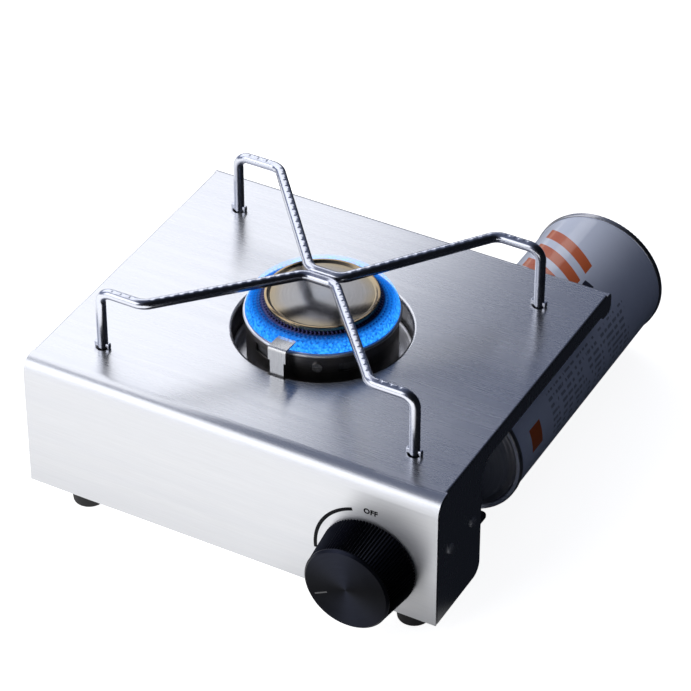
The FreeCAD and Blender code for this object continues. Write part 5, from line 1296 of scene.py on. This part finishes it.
    def jets(self, centre: Point) -> None:
        """A small cone of flame over each port: six corners at its foot, one at its tip.

        Args:
            centre: the burner's middle, at the crown's foot.
        """
        rows, count = self.port_rows - 1, self.ports_per_row
        row = np.arange(rows)[:, None]
        column = np.arange(count)[None, :]
        turn = (column + 0.5 * (row % 2)) * 2.0 * math.pi / count
        share = (row + 0.5) / self.port_rows + 0.0 * column
        length = math.hypot(self.foot_radius - self.top_radius, self.height)
        corner = np.arange(6) * math.pi / 3
        spread_u = self.jet_radius / self.foot_radius * np.cos(corner)
        spread_v = self.jet_radius / length * np.sin(corner)
        foot = self.slope_point(turn[..., None] + spread_u, share[..., None] + spread_v, 0.05 * MM)
        tip = self.slope_point(turn, share, self.jet_length)[..., None, :]
        points = np.concatenate([foot, tip], axis=2).reshape(-1, 3)
        base = (np.arange(rows * count) * 7)[:, None]
        ring = np.arange(6)[None, :]
        sides = np.stack([base + ring, base + (ring + 1) % 6, base + 6 + 0 * ring], -1).reshape(-1, 3)
        feet = np.stack([base[:, 0] + k for k in (5, 4, 3, 2, 1, 0)], -1)
        made = new_object("flame_jets", points, [sides, feet])
        tidy_mesh(made, MERGE)
        glow = Glow("flame_jets", scale=1200.0, centre=centre, hot=(0.04, 0.36, 1.0), cool=(0.01, 0.16, 0.9),
                    strength=1.3, cover=(0.08, 0.30), low=self.top_radius + 1.5 * MM,
                    high=self.top_radius + 6.0 * MM)
        add_piece(made, glow.material(), "stove_body")


@dataclass
class PotSupport:
    """The two bent wires of the pot support, notched along their tops."""

    wire_radius: float = 2.5 * MM
    span_x: float = 80.0 * MM
    shoulder: float = 22.5 * MM
    centre_run: float = 7.9 * MM
    leg_bend: float = 6.0 * MM
    plan_bend: float = 8.0 * MM
    notch_pitch: float = 4.6 * MM
    notch_length: float = 2.3 * MM
    notch_depth: float = 0.18 * MM
    notch_run: float = 0.4 * MM
    notch_side: float = 0.2
    ear_half: Vector = field(default_factory=lambda: Vector((3.9, 1.1, 0.0)) * MM)
    ear_height: float = 2.8 * MM
    ear_bevel: float = 0.5 * MM
    columns: int = 28
    step: float = 0.31 * MM

    def build(self) -> None:
        """Makes both wires and the ears on their legs, and dresses the weld."""
        # Polished steel wire; the blue cast in its colour is a painted reflection of the blue flame.
        polished = Finish("polished_wire_painted_blue_reflection", (0.56, 0.58, 0.65), roughness=0.21, scale=1500.0, shade=0.08,
                          rough_spread=0.1, relief=0.04, tint=(0.5, 0.5, 0.52), tint_amount=0.3).material()
        for side, name in ((-1, "support_wire_front"), (1, "support_wire_rear")):
            wire = self.wire(side, name)
            add_piece(wire, polished, "pot_support", (name,))
        dress(polished, "support_weld")

    def wire(self, side: int, node: str) -> bpy.types.Object:
        """One wire: leg, shoulder, arm, middle, arm, shoulder, leg, with the ears joined on.

        Args:
            side: -1 for the front wire and 1 for the rear one.
            node: the CAD node it stands for.

        Returns:
            The wire.
        """
        low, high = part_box(node)
        centre_x = (low.x + high.x) / 2
        z_top = high.z - self.wire_radius
        z_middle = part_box("support_weld")[0].z + self.wire_radius
        leg_y = low.y + self.wire_radius if side < 0 else high.y - self.wire_radius
        middle_y = high.y - self.wire_radius if side < 0 else low.y + self.wire_radius
        half = [(self.span_x, leg_y, low.z), (self.span_x, leg_y, z_top),
                (self.span_x - self.shoulder, leg_y, z_top), (self.centre_run, middle_y, z_middle)]
        left = [(centre_x - x, y, z) for x, y, z in half]
        right = [(centre_x + x, y, z) for x, y, z in reversed(half)]
        corners = np.array(left + right)
        bends = [0.0, self.leg_bend, self.plan_bend, self.plan_bend]
        path, runs = rounded_path(corners, bends + bends[::-1], self.step)
        level = np.isin(runs, (1, 2, 4, 5))
        distance = np.concatenate([[0.0], np.cumsum(np.linalg.norm(np.diff(path, axis=0), axis=1))])
        phase = np.abs((distance / self.notch_pitch) % 1.0 - 0.5) * self.notch_pitch
        inside = np.clip((self.notch_length / 2 - phase) / self.notch_run, 0.0, 1.0) * level
        turn = np.linspace(0.0, 2.0 * math.pi, self.columns, endpoint=False)
        flat = self.wire_radius - self.notch_depth
        upward = np.sin(turn)
        chord = flat / np.maximum(upward, self.notch_side)
        cut = np.minimum(self.wire_radius, np.where(upward > self.notch_side, chord, self.wire_radius))
        radii = self.wire_radius + inside[:, None] * (cut - self.wire_radius)[None, :]
        made = swept_tube(node + "_notched", path, radii)
        return self.with_ears(made, [centre_x - self.span_x, centre_x + self.span_x], leg_y)

    def with_ears(self, wire: bpy.types.Object, leg_places: list[float], leg_y: float) -> bpy.types.Object:
        """Joins a rounded flat ear on each leg, resting on the casing's top.

        Args:
            wire: the bent wire.
            leg_places: the legs' x.
            leg_y: the legs' y.

        Returns:
            The wire with its ears.
        """
        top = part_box("top_cover")[1].z
        ears = []
        for x in leg_places:
            low = Vector((x, leg_y, top)) - self.ear_half
            high = Vector((x, leg_y, top + self.ear_height)) + self.ear_half
            ears.append(box_mesh("support_ear", low, high, self.ear_bevel))
        bpy.context.view_layer.update()
        work = bmesh.new()
        work.from_mesh(wire.data)
        for ear in ears:
            shaped = bpy.data.meshes.new_from_object(
                ear.evaluated_get(bpy.context.evaluated_depsgraph_get()))
            work.from_mesh(shaped)
            bpy.data.objects.remove(ear)
        work.to_mesh(wire.data)
        work.free()
        return wire


@dataclass
class Controls:
    """The knob, its pointer and the igniter."""

    def build(self) -> None:
        """Dresses the knob and the igniter."""
        centre = tuple(middle("knob"))
        # The knob's face carries a painted sheen in two lobes, darker between them.
        knob = PaintedSheenFace("knob_black_painted_sheen", (0.016, 0.018, 0.028), roughness=0.42, grain=Grain.TURNED,
                          scale=3000.0, shade=0.2, rough_spread=0.1, relief=0.08,
                          depth=0.00003, centre=centre, axis=Axis.Y, spread=0.95,
                          painted_sheen_turn=math.radians(110.0), painted_sheen_share=0.8, specular=0.25)
        dress(knob.material(), "knob")
        pale = Finish("pointer_line", (0.055, 0.055, 0.06), metallic=0.0, roughness=0.5, scale=3000.0)
        dress(pale.material(), "knob_pointer")
        moulded = Finish("dark_moulding", (0.03, 0.03, 0.034), metallic=0.0, roughness=0.45, scale=2200.0,
                         shade=0.3, relief=0.2)
        dress(moulded.material(), "igniter_body", "igniter_plunger", "igniter_cam")
        sleeve = Finish("red_sleeve", (0.42, 0.03, 0.02), metallic=0.0, roughness=0.5, scale=1800.0,
                        tint=(0.25, 0.02, 0.02), tint_amount=0.3)
        dress(sleeve.material(), "igniter_lead")
        clip = Finish("pale_clip", (0.66, 0.65, 0.60), metallic=0.0, roughness=0.5, scale=1500.0)
        dress(clip.material(), "lead_clips")
        spring = Finish("spring_wire", (0.45, 0.45, 0.46), roughness=0.3, grain=Grain.ALONG_X)
        dress(spring.material(), "return_spring", "pressure_spring", "valve_spring", "electrode_pin")


@dataclass
class Canister:
    """The butane canister and the coupling that holds it."""

    def build(self) -> None:
        """Dresses the canister's nodes and the magnet."""
        low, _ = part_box("can_body")
        centre = tuple(middle("can_body"))
        print_finish = CanisterPrint("canister_print", (0.72, 0.77, 0.91), metallic=0.0, roughness=0.3,
                                     grain=Grain.TURNED, shade=0.05, rough_spread=0.08, relief=0.03,
                                     centre=centre, axis=Axis.Y, front=low.y, shell_radius=0.0333, coat=0.3)
        dress(print_finish.material(), "can_body")
        tin = Finish("tinplate", (0.50, 0.51, 0.55), metallic=0.6, roughness=0.34, grain=Grain.TURNED,
                     scale=1300.0, shade=0.15, relief=0.08, centre=centre, axis=Axis.Y,
                     tint=(0.42, 0.43, 0.46), tint_amount=0.4)
        dress(tin.material(), "can_dome", "can_base", "valve_collar")
        oxide = Finish("magnet_oxide", (0.05, 0.05, 0.055), metallic=0.0, roughness=0.55)
        dress(oxide.material(), "magnet_ring")


# Studio


@dataclass
class Studio:
    """Floor, world, lamps and camera."""

    camera_place: Vector = field(default_factory=lambda: Vector((0.5913, -1.07694, 0.99196)))
    azimuth: float = 28.696
    elevation: float = 37.431
    lens: float = 172.44
    floor_half: float = 6.0
    floor_lift: float = 0.90
    floor_mirror: float = 1.46
    floor_slant: Span = (0.9, 0.6)
    floor_fade: Span = (-0.06, 0.05)
    front_span: Span = (-0.19, -0.115)
    front_gain: Span = (1.18, 0.96)
    dark_side: Colour = (0.006, 0.007, 0.010)
    flame_power: float = 0.008
    flame_rise: float = 0.006
    flame_radius: float = 0.02
    flame_colour: Colour = (0.10, 0.35, 1.0)

    def build(self) -> None:
        """Sets the colour management, the world, the floor, the lamps and the camera."""
        bpy.context.scene.view_settings.view_transform = "Standard"
        self.world()
        self.floor()
        self.lamp("back_softbox", (-0.62, 0.38, 0.46), (-0.62, 0.38, 0.0), 0.84, 1.1, 1.5)
        self.lamp("front_softbox", (-0.55, -0.95, 0.62), (0.0, -0.05, 0.05), 0.9, 0.9, 1.9)
        self.flame_light()
        self.camera()

    def lamp(self, name: str, place: Point, target: Point, width: float, height: float,
             radiance: float) -> None:
        """A rectangular soft lamp, unseen by the camera.

        Args:
            name: the lamp's name.
            place: where it is.
            target: what it faces.
            width: its width.
            height: its height.
            radiance: how bright its surface is; its power is pi times its area times this.
        """
        data = bpy.data.lights.new(name, "AREA")
        data.shape = "RECTANGLE"
        data.size = width
        data.size_y = height
        data.energy = radiance * math.pi * width * height
        holder = linked(name, data)
        holder.location = place
        aim = Vector(target) - Vector(place)
        holder.rotation_euler = aim.to_track_quat("-Z", "Y").to_euler()
        holder.visible_camera = False

    def flame_light(self) -> None:
        """The flame's own blue light on the metal round it."""
        low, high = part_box("burner_cap")
        data = bpy.data.lights.new("flame_light", "POINT")
        data.energy = self.flame_power
        data.color = self.flame_colour
        data.shadow_soft_size = self.flame_radius
        holder = linked("flame_light", data)
        holder.location = (*((low + high) / 2).xy, high.z + self.flame_rise)
        holder.visible_glossy = False
        holder.visible_camera = False

    def world(self) -> None:
        """White to the camera; to the object a dim room, light on the left and near black on the right."""
        world = bpy.data.worlds.new("studio")
        bpy.context.scene.world = world
        sheet = NodeSheet.opened(world)
        path = sheet.add("ShaderNodeLightPath")
        light = sheet.add("ShaderNodeBackground")
        x, y, z = sheet.parts(sheet.add("ShaderNodeTexCoord").outputs["Object"])
        left = sheet.ramp(x, -0.6, 0.30, 1.0, 0.0)
        sky = sheet.mix(left, (0.060, 0.068, 0.095), (0.34, 0.36, 0.42))
        gloss = sheet.mix(left, self.dark_side, (0.24, 0.28, 0.42))
        gloss = sheet.mix(sheet.ramp(z, 0.70, 0.95, 0.0, 0.15), gloss, (0.03, 0.035, 0.05))
        sheet.feed(light.inputs["Color"], sheet.mix(path.outputs["Is Glossy Ray"], sky, gloss))
        white = sheet.add("ShaderNodeBackground")
        white.inputs["Color"].default_value = (*WHITE, 1.0)
        sheet.feed(sheet.add("ShaderNodeOutputWorld").inputs["Surface"],
                   self.camera_mix(sheet, path, light, white))

    def camera_mix(self, sheet: NodeSheet, path: bpy.types.Node, others: bpy.types.Node,
                   camera: bpy.types.Node) -> Socket:
        """One shader for the camera's rays and another for all others.

        Args:
            sheet: the node tree.
            path: the light path node.
            others: the shader for the other rays.
            camera: the shader for the camera's rays.

        Returns:
            the mixed shader.
        """
        mix = sheet.add("ShaderNodeMixShader")
        sheet.feed(mix.inputs[0], path.outputs["Is Camera Ray"])
        sheet.feed(mix.inputs[1], others.outputs[0])
        sheet.feed(mix.inputs[2], camera.outputs[0])
        return mix.outputs[0]

    def floor(self) -> None:
        """A floor, white with soft shadows to the camera; to the object it is light at the front left."""
        half = self.floor_half
        corners = np.array([[-half, -half, 0.0], [half, -half, 0.0], [half, half, 0.0], [-half, half, 0.0]])
        plane = new_object("studio_floor", corners, [np.array([[0, 1, 2, 3]])], smooth=False)
        made = bpy.data.materials.new("studio_floor")
        sheet = NodeSheet.opened(made)
        path = sheet.add("ShaderNodeLightPath")
        diffuse = sheet.add("ShaderNodeBsdfDiffuse")
        diffuse.inputs["Color"].default_value = (0.8, 0.8, 0.8, 1.0)
        lift = sheet.add("ShaderNodeEmission")
        lift.inputs["Strength"].default_value = self.floor_lift
        seen = sheet.add("ShaderNodeAddShader")
        sheet.feed(seen.inputs[0], diffuse.outputs[0])
        sheet.feed(seen.inputs[1], lift.outputs[0])
        x, y, _ = sheet.parts(sheet.add("ShaderNodeNewGeometry").outputs["Position"])
        along_x, along_y = self.floor_slant
        depth = sheet.plus(sheet.times(x, along_x), sheet.times(y, along_y))
        mirrored = sheet.add("ShaderNodeEmission")
        near, far = self.floor_fade
        sheet.feed(mirrored.inputs["Color"], sheet.mix(sheet.ramp(depth, near, far), WHITE, self.dark_side))
        near_front = sheet.ramp(y, *self.front_span, *self.front_gain)
        sheet.feed(mirrored.inputs["Strength"], sheet.times(near_front, self.floor_mirror))
        sheet.feed(sheet.add("ShaderNodeOutputMaterial").inputs["Surface"],
                   self.camera_mix(sheet, path, mirrored, seen))
        plane.data.materials.append(made)

    def camera(self) -> None:
        """The camera at the photograph's place, turned by its azimuth and elevation."""
        data = bpy.data.cameras.new("camera")
        data.lens = self.lens
        data.sensor_width = 36.0
        data.clip_start = 0.05
        data.clip_end = 50.0
        turn, rise = math.radians(self.azimuth), math.radians(self.elevation)
        back = Vector((math.sin(turn) * math.cos(rise), -math.cos(turn) * math.cos(rise), math.sin(rise)))
        right = Vector((math.cos(turn), math.sin(turn), 0.0))
        upward = back.cross(right)
        rotation = Matrix((right, upward, back)).transposed().to_4x4()
        holder = linked("camera", data)
        holder.matrix_world = Matrix.Translation(self.camera_place) @ rotation
        bpy.context.scene.camera = holder


def main() -> None:
    """Builds and dresses every sub-assembly, then the studio."""
    logging.basicConfig(level=logging.INFO, format="%(name)s: %(message)s")
    for assembly in (Casing(), Burner(), PotSupport(), Controls(), Canister(), Studio()):
        assembly.build()
        LOG.info("finished %s", type(assembly).__name__)


if __name__ == "__main__":
    main()
